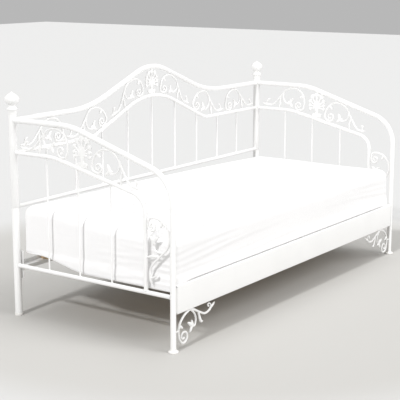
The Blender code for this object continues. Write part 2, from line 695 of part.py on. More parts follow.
def build_side_rails(paint, steel, ends):
    """Front board and rear rail with their end plates, the bolts, and the front corner scrolls."""
    rails = add_empty("side_rails", (0, 0, 0))
    across = Vector((0, 1, 0))

    def along_x(depth, height, length):
        return (length, depth, height)

    sheet = BOARD_SHEET
    seat = DECK_SEAT_Z - BOARD_BOTTOM_Z
    board_profile = [(0, 0), (BOARD_DEPTH, 0), (BOARD_DEPTH, sheet), (sheet, sheet),
                     (sheet, seat - sheet), (SHELF_DEPTH, seat - sheet), (SHELF_DEPTH, seat),
                     (sheet, seat), (sheet, BOARD_HEIGHT - sheet), (BOARD_DEPTH, BOARD_HEIGHT - sheet),
                     (BOARD_DEPTH, BOARD_HEIGHT), (0, BOARD_HEIGHT)]
    board_profile = [(BOARD_FRONT_Y + a, BOARD_BOTTOM_Z + b) for a, b in board_profile]
    rail_back = POST_Y + REAR_RAIL_SHEET
    rail_top = REAR_RAIL_BOTTOM_Z + REAR_RAIL_HEIGHT
    ledge = rail_back - REAR_RAIL_FLANGE
    rear_profile = [(rail_back, REAR_RAIL_BOTTOM_Z), (rail_back, rail_top), (POST_Y, rail_top),
                    (POST_Y, DECK_SEAT_Z), (ledge, DECK_SEAT_Z), (ledge, DECK_SEAT_Z - REAR_RAIL_SHEET),
                    (POST_Y, DECK_SEAT_Z - REAR_RAIL_SHEET), (POST_Y, REAR_RAIL_BOTTOM_Z)]
    front_end = HALF_SPAN - TUBE_R - GAP
    rear_end = HALF_SPAN - REAR_LEG_R - GAP
    plate_half = END_PLATE_WIDTH / 2
    plans = (
        ("front_rail", board_profile, front_end, BOARD_FRONT_Y + sheet, END_PLATE_WIDTH,
         BOARD_BOTTOM_Z + FRONT_PLATE_INSET, BOARD_HEIGHT - 2 * FRONT_PLATE_INSET, LEG_Y,
         FRONT_BOLT_Z, "front"),
        ("rear_rail", rear_profile, rear_end, POST_Y - plate_half, END_PLATE_WIDTH,
         REAR_PLATE_BOTTOM_Z, REAR_PLATE_HEIGHT, POST_Y, REAR_BOLT_Z, "rear"),
    )
    for name, profile, end, plate_y, plate_width, plate_z, plate_tall, bolt_y, bolt_z, place in plans:
        weld = END_PLATE - BITE
        meshes = [slab(name, profile, -end + weld, end - weld, along_x)]
        for side, sign in SIDES:
            low = min(sign * end, sign * (end - END_PLATE))
            meshes.append(block(f"{name}_plate", (low, plate_y - BITE, plate_z),
                                (low + END_PLATE, plate_y + plate_width, plate_z + plate_tall)))
        rail = add_piece(name, fused(name, meshes), paint, rails)
        rail.data.shade_flat()
        for (side, sign), end_pieces in zip(SIDES, ends):
            leg = end_pieces[0] if place == "rear" else end_pieces[1]
            inner_face = end - END_PLATE - GAP
            drill = [Vector((sign * (inner_face - DRILL_RUN_OUT), bolt_y, bolt_z)),
                     Vector((sign * (end + BOLT_REACH + DRILL_RUN_OUT), bolt_y, bolt_z))]
            hole_mesh = bar(f"hole_{place}_{side}", drill, BOLT_HOLE_R, SPINDLE_SIDES, across)
            hole = add_cutter(hole_mesh.name, hole_mesh, rails)
            cope(rail, hole)
            cope(leg, hole)
            shank = [Vector((sign * (inner_face - BITE), bolt_y, bolt_z)),
                     Vector((sign * (end + BOLT_REACH), bolt_y, bolt_z))]
            head = [Vector((sign * (inner_face - BOLT_HEAD), bolt_y, bolt_z)),
                    Vector((sign * inner_face, bolt_y, bolt_z))]
            bolt_name = f"rail_bolt_{place}_{side}"
            bolt = fused(bolt_name, [bar("head", head, BOLT_HEAD_R, BOLT_HEAD_SIDES, across),
                                     bar("shank", shank, BOLT_R, SPINDLE_SIDES, across)])
            add_piece(bolt_name, bolt, steel, rails)

    for (side, sign), end_pieces in zip(SIDES, ends):
        name = f"corner_scroll_{side}"

        def under_rail(along, height, sign=sign):
            return Vector((sign * (front_end + GAP - along), LEG_Y, BOARD_BOTTOM_Z + height))

        mesh = cast_scroll(name, corner_strands(), under_rail, across)
        scroll = add_piece(name, mesh, paint, rails)
        room = block(f"board_room_{side}", (-HALF_SPAN, BOARD_FRONT_Y - BOARD_DEPTH, BOARD_BOTTOM_Z - GAP),
                     (HALF_SPAN, BOARD_FRONT_Y + SHELF_DEPTH, DECK_SEAT_Z))
        cope(scroll, add_cutter(room.name, room, rails), end_pieces[2]["outer"])


def build_deck(wood):
    """Slatted deck, resting on the front shelf and on the rear rail's flange."""
    front = BOARD_FRONT_Y + BOARD_DEPTH + DECK_SIDE_ROOM
    back = POST_Y - 2 * DECK_SIDE_ROOM
    half = HALF_SPAN - DECK_END_ROOM
    low = DECK_SEAT_Z + GAP
    deck = add_piece("slat_deck", block("slat_deck", (-half, front, low), (half, back, low + DECK_THICK)),
                     wood, None)
    pitch = (2 * half - SLAT_WIDTH) / (DECK_SLATS - 1)
    shape = bmesh.new()
    for number in range(DECK_SLATS - 1):
        start = -half + SLAT_WIDTH + number * pitch
        window = ((start, front + DECK_BORDER), (start + pitch - SLAT_WIDTH, front + DECK_BORDER),
                  (start + pitch - SLAT_WIDTH, back - DECK_BORDER), (start, back - DECK_BORDER))
        heights = (low - DECK_THICK, low + 2 * DECK_THICK)
        rings = [[(a, b, height) for a, b in window] for height in heights]
        loops = add_rings(shape, rings)
        shape.faces.new(loops[0])
        shape.faces.new(loops[1])
    windows = add_cutter("deck_windows", finish_mesh("deck_windows", shape), None)
    cope(deck, windows)


def pad_ring(half, front, back, corner, height):
    """Ring of a pad with rounded corners, from its half length and its front and back faces."""
    ring = []
    corners = ((half - corner, back - corner), (corner - half, back - corner),
               (corner - half, front + corner), (half - corner, front + corner))
    for quarter, (x, y) in enumerate(corners):
        for step in range(PAD_CORNER_STEPS + 1):
            angle = math.pi / 2 * (quarter + step / PAD_CORNER_STEPS)
            ring.append(Vector((x + corner * math.cos(angle), y + corner * math.sin(angle), height)))
    return ring


def pad_rings(grow, base, hem=None):
    """Rings of the mattress, grown by a little, from its underside or from a hem up to its top.

    Behind the front board the mattress is tucked in; above the board it bulges out over it.
    """
    half = HALF_SPAN - MATTRESS_END_ROOM - SHEET_THICK - GAP + grow
    back = POST_Y - SPINDLE_R - MATTRESS_BACK_ROOM - SHEET_THICK - GAP + grow
    tucked = BOARD_FRONT_Y + BOARD_DEPTH + MATTRESS_TUCK
    proud = BOARD_FRONT_Y + BOARD_DEPTH - MATTRESS_OVERHANG + SHEET_THICK + GAP - grow
    board_top = BOARD_BOTTOM_Z + BOARD_HEIGHT
    top = base + MATTRESS_HEIGHT + grow
    low_edge = MATTRESS_LOW_EDGE
    top_edge = MATTRESS_TOP_EDGE + grow
    shares = [step / PAD_EDGE_STEPS * math.pi / 2 for step in range(PAD_EDGE_STEPS + 1)]
    levels = []
    if hem is None:
        levels += [(low_edge * (1 - math.sin(a)), base + low_edge * (1 - math.cos(a)), tucked)
                   for a in shares]
        levels.append((0, board_top + SHEET_THICK, tucked))
        hem = board_top + SHEET_HEM
    levels.append((0, hem, proud))
    levels += [(top_edge * (1 - math.cos(a)), top - top_edge * (1 - math.sin(a)), proud)
               for a in shares]
    return [pad_ring(half - inset, front + inset, back - inset, MATTRESS_CORNER + grow - inset, height)
            for inset, height, front in levels]


def build_mattress(ticking, cotton):
    """Mattress and the fitted sheet drawn over it; the two lift off together."""
    stand = add_empty("mattress_lift", (0, 0, 0))
    base = DECK_SEAT_Z + DECK_THICK + 2 * GAP
    shape = bmesh.new()
    loops = add_rings(shape, pad_rings(0, base))
    shape.faces.new(loops[0])
    shape.faces.new(loops[-1])
    add_piece("mattress", finish_mesh("mattress", shape), ticking, stand)

    hem = BOARD_BOTTOM_Z + BOARD_HEIGHT + SHEET_HEM
    shape = bmesh.new()
    outer = add_rings(shape, pad_rings(GAP + SHEET_THICK, base, hem))
    inner = add_rings(shape, pad_rings(GAP, base, hem))
    shape.faces.new(outer[-1])
    shape.faces.new(inner[-1])
    count = len(outer[0])
    for index in range(count):
        ahead = (index + 1) % count
        shape.faces.new((outer[0][index], outer[0][ahead], inner[0][ahead], inner[0][index]))
    add_piece("fitted_sheet", finish_mesh("fitted_sheet", shape), cotton, stand)


def main():
    """Build the whole daybed."""
    clear_scene()
    paint = make_finish("white_paint", (0.86, 0.86, 0.84), 0.35)
    plastic = make_finish("foot_plastic", (0.80, 0.80, 0.78), 0.45)
    steel = make_finish("zinc_steel", (0.62, 0.63, 0.64), 0.35, 1.0)
    wood = make_finish("deck_wood", (0.62, 0.48, 0.33), 0.60)
    ticking = make_finish("mattress_ticking", (0.82, 0.82, 0.80), 0.85)
    cotton = make_finish("sheet_cotton", (0.90, 0.90, 0.91), 0.85)
    ends = [build_end_panel(side, sign, paint, plastic) for side, sign in SIDES]
    posts, arms = ([rooms[name] for _, _, rooms in ends] for name in ("post", "outer"))
    build_back_panel(paint, posts, arms)
    build_side_rails(paint, steel, ends)
    build_deck(wood)
    build_mattress(ticking, cotton)


main()
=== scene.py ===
"""Looks of a white steel daybed: painted tubes, cast ornaments, a slatted deck and a sheeted mattress.

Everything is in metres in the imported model's own frame: +X runs along the bed, +Y points to its back
and +Z up. Each sub-assembly is a class whose fields are its sizes; its places come from the model.
"""

import logging
import math
from dataclasses import dataclass
from enum import Enum
from typing import Callable, Sequence

import bmesh
import bpy
import numpy as np
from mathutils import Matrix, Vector


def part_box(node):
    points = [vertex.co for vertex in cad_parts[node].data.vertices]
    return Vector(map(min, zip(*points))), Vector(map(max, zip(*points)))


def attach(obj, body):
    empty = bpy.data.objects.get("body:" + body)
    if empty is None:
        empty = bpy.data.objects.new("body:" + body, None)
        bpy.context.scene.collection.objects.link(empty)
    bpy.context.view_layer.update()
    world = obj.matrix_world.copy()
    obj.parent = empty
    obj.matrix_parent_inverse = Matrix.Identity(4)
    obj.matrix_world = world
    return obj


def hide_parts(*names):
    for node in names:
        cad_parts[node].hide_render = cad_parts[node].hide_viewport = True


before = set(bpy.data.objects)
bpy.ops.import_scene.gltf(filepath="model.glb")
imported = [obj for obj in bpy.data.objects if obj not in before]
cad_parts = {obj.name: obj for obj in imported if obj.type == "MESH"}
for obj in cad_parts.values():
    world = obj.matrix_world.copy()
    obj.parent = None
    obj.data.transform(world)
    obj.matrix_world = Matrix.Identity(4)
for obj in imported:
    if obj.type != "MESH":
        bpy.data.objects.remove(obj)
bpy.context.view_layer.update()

LOG = logging.getLogger("daybed")
X_AXIS = Vector((1, 0, 0))
Y_AXIS = Vector((0, 1, 0))
SHARP = math.radians(38)

Pair = tuple[float, float]
Place = Callable[[float, float], Vector]


class Body(Enum):
    """The two bodies of the model that pieces ride on."""

    FRAME = "frame"
    MATTRESS = "mattress"


class Side(Enum):
    """Left or right end of the bed, with the sign of its X."""

    LEFT = -1
    RIGHT = 1

    @property
    def word(self) -> str:
        """The side's name as the model's nodes spell it."""
        return self.name.lower()


# ---------------------------------------------------------------- shader kit


class Value:
    """What a shader node gives. Arithmetic on it adds Math nodes."""

    def __init__(self, graph: "Graph", socket: bpy.types.NodeSocket) -> None:
        """Keep the graph and the socket.

        Args:
            graph: The graph that the node belongs to.
            socket: The node's output.
        """
        self.graph = graph
        self.socket = socket

    def _math(self, operation: str, first: "Value | float", second: "Value | float") -> "Value":
        """One Math node."""
        return self.graph.node("ShaderNodeMath", {"operation": operation}, {0: first, 1: second})

    def __add__(self, other: "Value | float") -> "Value":
        """Sum."""
        return self._math("ADD", self, other)

    def __radd__(self, other: float) -> "Value":
        """Sum with a number first."""
        return self._math("ADD", other, self)

    def __sub__(self, other: "Value | float") -> "Value":
        """Difference."""
        return self._math("SUBTRACT", self, other)

    def __rsub__(self, other: float) -> "Value":
        """Difference from a number."""
        return self._math("SUBTRACT", other, self)

    def __mul__(self, other: "Value | float") -> "Value":
        """Product."""
        return self._math("MULTIPLY", self, other)

    def __rmul__(self, other: float) -> "Value":
        """Product with a number first."""
        return self._math("MULTIPLY", other, self)

    def sine(self) -> "Value":
        """Sine, in radians."""
        return self._math("SINE", self, 0.0)

    def root(self) -> "Value":
        """Square root."""
        return self._math("SQRT", self, 0.0)

    def above(self, level: float, width: float) -> "Value":
        """Smooth step from 0 to 1 around a level.

        Args:
            level: Where the step is half way.
            width: How wide the step is.

        Returns:
            The step's value.
        """
        low, high = level - width / 2, level + width / 2
        sockets = {"Value": self, "From Min": low, "From Max": high}
        return self.graph.node("ShaderNodeMapRange", {"interpolation_type": "SMOOTHSTEP"}, sockets)


class Graph:
    """Node graph of one material."""

    def __init__(self, name: str) -> None:
        """Start a material with a Principled shader.

        Args:
            name: The material's name.
        """
        self.material = bpy.data.materials.new(name)
        self.material.use_nodes = True
        self.tree = self.material.node_tree
        self.shader = self.tree.nodes["Principled BSDF"]

    def node(self, kind: str, settings: dict | None = None, inputs: dict | None = None,
             output: int | str = 0) -> Value:
        """Add a node.

        Args:
            kind: The node's type.
            settings: Its settings, such as a Math node's operation, or a ramp's stops.
            inputs: Values or links for its sockets, by name or number.
            output: Which output to give.

        Returns:
            The chosen output.
        """
        made = self.tree.nodes.new(kind)
        for key, value in (settings or {}).items():
            if key == "stops":
                self._set_stops(made.color_ramp, value)
            else:
                setattr(made, key, value)
        self.feed(made, inputs or {})
        return Value(self, made.outputs[output])

    @staticmethod
    def _set_stops(ramp: bpy.types.ColorRamp, stops: Sequence[tuple[float, tuple]]) -> None:
        """Give a ramp its stops.

        Args:
            ramp: The ramp.
            stops: The place and the colour of each stop.
        """
        while len(ramp.elements) < len(stops):
            ramp.elements.new(1.0)
        for element, (position, colour) in zip(ramp.elements, stops):
            element.position = position
            element.color = (*colour, 1.0)

    def feed(self, made: bpy.types.Node, inputs: dict) -> None:
        """Set or link a node's sockets.

        Args:
            made: The node.
            inputs: Values or links, by the socket's name or number.
        """
        for key, value in inputs.items():
            socket = made.inputs[key]
            if isinstance(value, Value):
                self.tree.links.new(value.socket, socket)
            else:
                socket.default_value = value

    def place(self) -> Value:
        """The point being shaded, in metres in the model's frame."""
        return self.node("ShaderNodeTexCoord", output="Object")

    def axes(self) -> tuple[Value, Value, Value]:
        """The three coordinates of the point being shaded.

        Returns:
            Its X, Y and Z.
        """
        made = self.tree.nodes.new("ShaderNodeSeparateXYZ")
        self.tree.links.new(self.place().socket, made.inputs[0])
        return tuple(Value(self, made.outputs[index]) for index in range(3))

    def noise(self, scale: float, detail: float = 2.0, stretch: tuple = (1, 1, 1)) -> Value:
        """Soft noise from 0 to 1.

        Args:
            scale: How many grains there are to a metre.
            detail: How many finer layers it has.
            stretch: Factors on the three axes.

        Returns:
            The noise.
        """
        place = self.place()
        if stretch != (1, 1, 1):
            place = self.node("ShaderNodeMapping", None, {"Vector": place, "Scale": stretch})
        return self.node("ShaderNodeTexNoise", None, {"Vector": place, "Scale": scale, "Detail": detail})

    def mix(self, share: Value, first: tuple, second: tuple) -> Value:
        """Mix of two colours.

        Args:
            share: How much of the second one.
            first: The first colour.
            second: The second colour.

        Returns:
            The mixed colour.
        """
        sockets = {0: share, 6: (*first, 1.0), 7: (*second, 1.0)}
        return self.node("ShaderNodeMix", {"data_type": "RGBA"}, sockets, 2)

    def bump(self, height: Value, distance: float, strength: float = 1.0) -> Value:
        """Bump from a height.

        Args:
            height: The height, from 0 to 1.
            distance: What a height of 1 means, in metres.
            strength: How strong the bump is.

        Returns:
            The normal.
        """
        sockets = {"Height": height, "Distance": distance, "Strength": strength}
        return self.node("ShaderNodeBump", None, sockets)

    def finish(self, sockets: dict) -> bpy.types.Material:
        """Set the Principled shader's sockets.

        Args:
            sockets: Values or links, by the socket's name.

        Returns:
            The material.
        """
        self.feed(self.shader, sockets)
        return self.material


# ---------------------------------------------------------------- finishes


@dataclass(frozen=True)
class Finish:
    """What every finish has: a name, a slot name (not used here) and its colour."""

    name: str
    slot: str
    colour: tuple[float, float, float]

    def material(self) -> bpy.types.Material:
        """The material, made once."""
        return bpy.data.materials.get(self.name) or self.build(Graph(self.name))

    def shade(self, factor: float) -> tuple[float, float, float]:
        """The finish's colour, lighter or darker by a factor."""
        return tuple(min(1.0, part * factor) for part in self.colour)

    def build(self, graph: Graph) -> bpy.types.Material:
        """Give the graph its nodes."""
        raise NotImplementedError


@dataclass(frozen=True)
class PowderCoat(Finish):
    """Baked white powder coat with a faint orange peel."""

    roughness: float = 0.30
    peel_pitch: float = 0.0016
    peel_depth: float = 0.00006

    def build(self, graph: Graph) -> bpy.types.Material:
        """Cloudy white under a thin gloss, and the peel as bump.

        Args:
            graph: The graph the nodes go into.

        Returns:
            The material.
        """
        cloud = graph.noise(7.0, 3.0)
        fine = graph.noise(160.0, 2.0)
        peel = graph.noise(1 / self.peel_pitch, 1.0)
        colour = graph.mix(cloud.above(0.5, 0.4), self.shade(0.985), self.shade(1.01))
        return graph.finish({
            "Base Color": colour,
            "Roughness": self.roughness - 0.05 + 0.07 * cloud + 0.04 * fine,
            "Coat Weight": 0.25,
            "Coat Roughness": 0.16,
            "Normal": graph.bump(peel + 0.3 * fine, self.peel_depth),
        })


@dataclass(frozen=True)
class MouldedPlastic(Finish):
    """Matte moulded plastic with a fine grain."""

    def build(self, graph: Graph) -> bpy.types.Material:
        """Slightly mottled colour with a grain of a third of a millimetre.

        Args:
            graph: The graph the nodes go into.

        Returns:
            The material.
        """
        cloud = graph.noise(40.0, 2.0)
        grain = graph.noise(3000.0, 1.0)
        return graph.finish({
            "Base Color": graph.mix(cloud, self.shade(0.97), self.shade(1.02)),
            "Roughness": 0.46 + 0.10 * cloud,
            "Normal": graph.bump(grain, 0.00004),
        })


@dataclass(frozen=True)
class ZincPlate(Finish):
    """Bright zinc plate on steel."""

    def build(self, graph: Graph) -> bpy.types.Material:
        """Metal with faint bloom.

        Args:
            graph: The graph the nodes go into.

        Returns:
            The material.
        """
        bloom = graph.noise(260.0, 3.0)
        return graph.finish({
            "Base Color": graph.mix(bloom, self.shade(0.93), self.shade(1.05)),
            "Metallic": 1.0,
            "Roughness": 0.26 + 0.16 * bloom,
            "Normal": graph.bump(bloom, 0.00002),
        })


@dataclass(frozen=True)
class SandedPly(Finish):
    """Sanded birch ply with its grain along the slats."""

    def build(self, graph: Graph) -> bpy.types.Material:
        """Streaks and pores drawn out along the depth of the bed.

        Args:
            graph: The graph the nodes go into.

        Returns:
            The material.
        """
        streak = graph.noise(26.0, 4.0, (1.0, 0.06, 1.0))
        pore = graph.noise(420.0, 2.0, (1.0, 0.04, 1.0))
        x, _, z = graph.axes()
        ply = (z * (2 * math.pi / 0.0030)).sine()
        ring = (x * 55.0 + streak * 9.0).sine()
        share = 0.5 + 0.22 * ring + 0.12 * ply
        return graph.finish({
            "Base Color": graph.mix(share, self.shade(0.86), self.shade(1.07)),
            "Roughness": 0.52 + 0.16 * pore,
            "Normal": graph.bump(pore + 0.6 * streak, 0.00018),
        })


@dataclass(frozen=True)
class Cloth(Finish):
    """Plain woven cloth."""

    thread: float = 0.0009
    relief: float = 0.00010
    sheen: float = 0.20
    stripe: float = 0.0

    def build(self, graph: Graph) -> bpy.types.Material:
        """Two sets of threads crossing on every face, with slubs and a little unevenness.

        Args:
            graph: The graph the nodes go into.

        Returns:
            The material.
        """
        x, y, z = graph.axes()
        turn = 2 * math.pi / self.thread
        weave = ((x + z) * turn).sine() * ((y + z) * turn).sine()
        slub = graph.noise(90.0, 3.0, (0.12, 1.0, 1.0))
        cloud = graph.noise(9.0, 2.0)
        share = 0.45 * cloud + 0.30 * slub + 0.10 * weave
        if self.stripe:
            band = ((x + y * 0.001) * (2 * math.pi / self.stripe)).sine().above(0.55, 0.1)
            share = share - 0.9 * band
        return graph.finish({
            "Base Color": graph.mix(share, self.shade(0.965), self.shade(1.02)),
            "Roughness": 0.84 + 0.08 * slub,
            "Sheen Weight": self.sheen,
            "Sheen Roughness": 0.5,
            "Normal": graph.bump(0.5 + 0.35 * weave + 0.35 * slub, self.relief),
        })


@dataclass(frozen=True)
class PaleFloor(Finish):
    """Plain pale floor that turns lighter away from the bed, as a studio sweep does."""

    sweep: tuple[float, float, float] = (0.606, 0.606, 0.602)
    edge: Pair = (1.75, 0.50)

    def build(self, graph: Graph) -> bpy.types.Material:
        """Very soft unevenness, and the lighter sweep.

        Args:
            graph: The graph the nodes go into.

        Returns:
            The material.
        """
        cloud = graph.noise(2.2, 3.0)
        fine = graph.noise(60.0, 3.0)
        x, y, _ = graph.axes()
        away = (x * x + y * y).root().above(*self.edge)
        return graph.finish({
            "Base Color": graph.mix(away + 0.04 * cloud + 0.02 * fine, self.colour, self.sweep),
            "Roughness": 0.80,
            "Normal": graph.bump(fine, 0.0003),
        })


WHITE_COAT = PowderCoat("white_powder_coat", "frame_paint", (0.870, 0.867, 0.859))
FOOT_PLASTIC = MouldedPlastic("white_foot_plastic", "foot_plastic", (0.800, 0.790, 0.765))
ZINC = ZincPlate("bright_zinc", "bolt_zinc", (0.64, 0.65, 0.67))
PLY = SandedPly("birch_ply", "deck_plywood", (0.60, 0.44, 0.27))
TICKING = Cloth("striped_ticking", "mattress_ticking", (0.80, 0.785, 0.75), 0.0014, 0.00016, 0.12, 0.024)
SHEETING = Cloth("white_sheeting", "sheet_cotton", (0.882, 0.876, 0.877))
FLOOR = PaleFloor("pale_floor", "", (0.497, 0.488, 0.468))


# ---------------------------------------------------------------- lines


def rounded(corners: Sequence[Pair], radii: Sequence[float], step: float = math.radians(3)) -> list[Vector]:
    """Points of a bent line: straight runs with a true arc at each inner corner.

    Args:
        corners: The corners, with the two ends.
        radii: The radius at each inner corner.
        step: The largest turn between two points of an arc.

    Returns:
        The line's points.
    """
    points = [Vector(corners[0])]
    for before, corner, after, radius in zip(corners, corners[1:], corners[2:], radii):
        corner = Vector(corner)
        back = (Vector(before) - corner).normalized()
        ahead = (Vector(after) - corner).normalized()
        turn = math.pi - back.angle(ahead)
        reach = radius * math.tan(turn / 2)
        centre = corner + (back + ahead).normalized() * radius / math.cos(turn / 2)
        first, last = corner + back * reach - centre, corner + ahead * reach - centre
        steps = max(2, math.ceil(turn / step))
        for index in range(steps + 1):
            share = index / steps
            blend = first * math.sin((1 - share) * turn) + last * math.sin(share * turn)
            points.append(centre + blend / math.sin(turn))
    points.append(Vector(corners[-1]))
    return points


def spiral(centre: Pair, radii: Pair, angles: Pair, steps: int, late: float = 1.0) -> list[Pair]:
    """Points along an arc, or along a spiral where the two radii differ.

    Args:
        centre: Its middle.
        radii: The first and last radius.
        angles: The first and last angle, in degrees.
        steps: How many steps it takes.
        late: Above 1, the spiral keeps its first radius for longer.

    Returns:
        The points.
    """
    points = []
    for index in range(steps + 1):
        share = index / steps
        angle = math.radians(angles[0] + (angles[1] - angles[0]) * share)
        radius = radii[0] + (radii[1] - radii[0]) * share ** late
        points.append((centre[0] + radius * math.cos(angle), centre[1] + radius * math.sin(angle)))
    return points


def height_on(line: Sequence[Vector], place: float) -> Pair:
    """Height of a bent line above a place along it, and its slope there.

    Args:
        line: The line's points.
        place: The place along it.

    Returns:
        The height and the slope.
    """
    for low, high in zip(line, line[1:]):
        if min(low.x, high.x) <= place <= max(low.x, high.x) and low.x != high.x:
            slope = (high.y - low.y) / (high.x - low.x)
            return low.y + slope * (place - low.x), slope
    raise ValueError("the place is off the line")


def flowing(controls: Sequence[Sequence[float]], parts: int) -> np.ndarray:
    """Smooth curve through control rows, each a point followed by its radius.

    Args:
        controls: The rows.
        parts: How many parts each span is cut into.

    Returns:
        The rows of the curve.
    """
    rows = np.array([controls[0], *controls, controls[-1]], float)
    shares = np.linspace(0, 1, parts, endpoint=False)[:, None]
    spans = []
    for a, b, c, d in zip(rows, rows[1:], rows[2:], rows[3:]):
        spans.append(0.5 * (2 * b + (c - a) * shares + (2 * a - 5 * b + 4 * c - d) * shares ** 2
                            + (3 * b - a - 3 * c + d) * shares ** 3))
    return np.concatenate([*spans, rows[-1:]])


def welded(path: Sequence[Vector], radius: float, flare: float, ends: tuple[bool, bool],
           sunk: float = 0.0015) -> tuple[list[Vector], list[float]]:
    """A bar's path and radii with a small weld fillet where it meets another piece.

    Args:
        path: The bar's axis, which starts and ends inside its neighbours by sunk.
        radius: The bar's radius.
        flare: How far the fillet stands out at the neighbour's surface.
        ends: Whether the first and the last end have a fillet.
        sunk: How far the ends reach into the neighbours.

    Returns:
        The path with more points at its ends, and a radius for each.
    """
    offsets = [0.0, *(sunk + flare * share for share in (0.0, 0.25, 0.6, 1.1, 1.8))]
    swell = [flare, flare, flare * 0.55, flare * 0.25, flare * 0.06, 0.0]
    head = (path[1] - path[0]).normalized()
    tail = (path[-2] - path[-1]).normalized()
    points, radii = [], []
    if ends[0]:
        points += [path[0] + head * offset for offset in offsets]
        radii += [radius + extra for extra in swell]
    else:
        points.append(path[0])
        radii.append(radius)
    for point in path[1:-1]:
        points.append(point)
        radii.append(radius)
    if ends[1]:
        points += [path[-1] + tail * offset for offset in reversed(offsets)]
        radii += [radius + extra for extra in reversed(swell)]
    else:
        points.append(path[-1])
        radii.append(radius)
    return points, radii


# ---------------------------------------------------------------- solids


class Solid:
    """Points and faces of a piece while it is being made."""

    def __init__(self) -> None:
        """Start empty."""
        self.points: list[Vector] = []
        self.faces: list[tuple[int, ...]] = []

    def rings(self, rings: Sequence[Sequence[Vector]], closed: bool = False) -> "Solid":
        """Skin a row of rings, with flat ends unless it closes on itself.

        Args:
            rings: The rings, each with the same number of points.
            closed: Whether the last ring joins the first.

        Returns:
            The solid.
        """
        start, count = len(self.points), len(rings[0])
        for ring in rings:
            self.points.extend(ring)
        for row in range(len(rings) if closed else len(rings) - 1):
            low = start + row * count
            high = start + (row + 1) % len(rings) * count
            for index in range(count):
                ahead = (index + 1) % count
                self.faces.append((low + index, low + ahead, high + ahead, high + index))
        if not closed:
            self.faces.append(tuple(start + index for index in reversed(range(count))))
            last = start + (len(rings) - 1) * count
            self.faces.append(tuple(last + index for index in range(count)))
        return self

    def bar(self, path: Sequence[Vector], radii: Sequence[float], across: Vector, sides: int = 28,
            thick: float = math.inf, domed: bool = False) -> "Solid":
        """Add a bar along a flat path.

        Args:
            path: The bar's axis.
            radii: Its radius at each point.
            across: The direction square to the path's plane.
            sides: How many sides its section has.
            thick: The most it measures from its axis along across.
            domed: Whether its ends are round.

        Returns:
            The solid.
        """
        rows = [(point, radius) for point, radius in zip(path, radii)]
        ways = []
        for index, point in enumerate(path):
            before, after = path[max(index - 1, 0)], path[min(index + 1, len(path) - 1)]
            ways.append((after - before).normalized())
        if domed:
            caps = [(math.cos(angle), math.sin(angle)) for angle in (1.45, 1.0, 0.5)]
            head = [(path[0] - ways[0] * radii[0] * out, radii[0] * wide) for wide, out in caps]
            tail = [(path[-1] + ways[-1] * radii[-1] * out, radii[-1] * wide) for wide, out in reversed(caps)]
            rows = head + rows + tail
            ways = [ways[0]] * len(caps) + ways + [ways[-1]] * len(caps)
        made = []
        for (point, radius), way in zip(rows, ways):
            lift = way.cross(across)
            flat = min(radius, thick)
            turns = [2 * math.pi * side / sides for side in range(sides)]
            made.append([point + flat * math.cos(turn) * across + radius * math.sin(turn) * lift
                         for turn in turns])
        return self.rings(made)

    def lathe(self, profile: Sequence[Pair], centre: Vector, sides: int = 48, closed: bool = False,
              axis: Vector = Vector((0, 0, 1))) -> "Solid":
        """Add a turned body.

        Args:
            profile: Radii and heights along the axis.
            centre: Where the axis starts.
            sides: How many sides it has.
            closed: Whether the profile closes on itself, as a hollow body's does.
            axis: The direction of the axis.

        Returns:
            The solid.
        """
        first = axis.orthogonal().normalized()
        second = axis.cross(first)
        turns = [2 * math.pi * side / sides for side in range(sides)]
        made = [[centre + axis * height + radius * (math.cos(turn) * first + math.sin(turn) * second)
                 for turn in turns] for radius, height in profile]
        return self.rings(made, closed)

    def extrude(self, outline: Sequence[Pair], low: float, high: float) -> "Solid":
        """Push an outline of depth and height along X.

        Args:
            outline: The closed outline.
            low: The X it starts at.
            high: The X it ends at.

        Returns:
            The solid.
        """
        return self.rings([[Vector((x, depth, height)) for depth, height in outline] for x in (low, high)])

    def mesh(self, name: str) -> bpy.types.Mesh:
        """The finished mesh, facing out, smooth but for its sharp edges.

        Args:
            name: The mesh's name.

        Returns:
            The mesh.
        """
        made = bpy.data.meshes.new(name)
        made.from_pydata(self.points, [], self.faces)
        shape = bmesh.new()
        shape.from_mesh(made)
        bmesh.ops.recalc_face_normals(shape, faces=shape.faces)
        shape.to_mesh(made)
        shape.free()
        made.shade_smooth()
        made.set_sharp_from_angle(angle=SHARP)
        return made


def soft_box(low: Sequence[float], high: Sequence[float], edge: float, segments: int = 3) -> Solid:
    """Board with rounded edges.

    Args:
        low: Its lowest corner.
        high: Its highest corner.
        edge: The edges' radius.
        segments: How many steps round an edge.

    Returns:
        The board as a solid.
    """
    shape = bmesh.new()
    size = Vector(high) - Vector(low)
    middle = (Vector(high) + Vector(low)) / 2
    for vertex in bmesh.ops.create_cube(shape, size=1.0)["verts"]:
        vertex.co = middle + Vector(part * long for part, long in zip(vertex.co, size))
    bmesh.ops.bevel(shape, geom=list(shape.edges), offset=edge, segments=segments, profile=0.5,
                    affect="EDGES")
    made = Solid()
    shape.verts.ensure_lookup_table()
    made.points = [vertex.co.copy() for vertex in shape.verts]
    made.faces = [tuple(vertex.index for vertex in face.verts) for face in shape.faces]
    shape.free()
    return made


def merged(solids: Sequence[Solid]) -> Solid:
    """Several solids as one piece.

    Args:
        solids: The solids.

    Returns:
        One solid with all their bodies.
    """
    made = Solid()
    for solid in solids:
        start = len(made.points)
        made.points.extend(solid.points)
        made.faces.extend(tuple(start + index for index in face) for face in solid.faces)
    return made


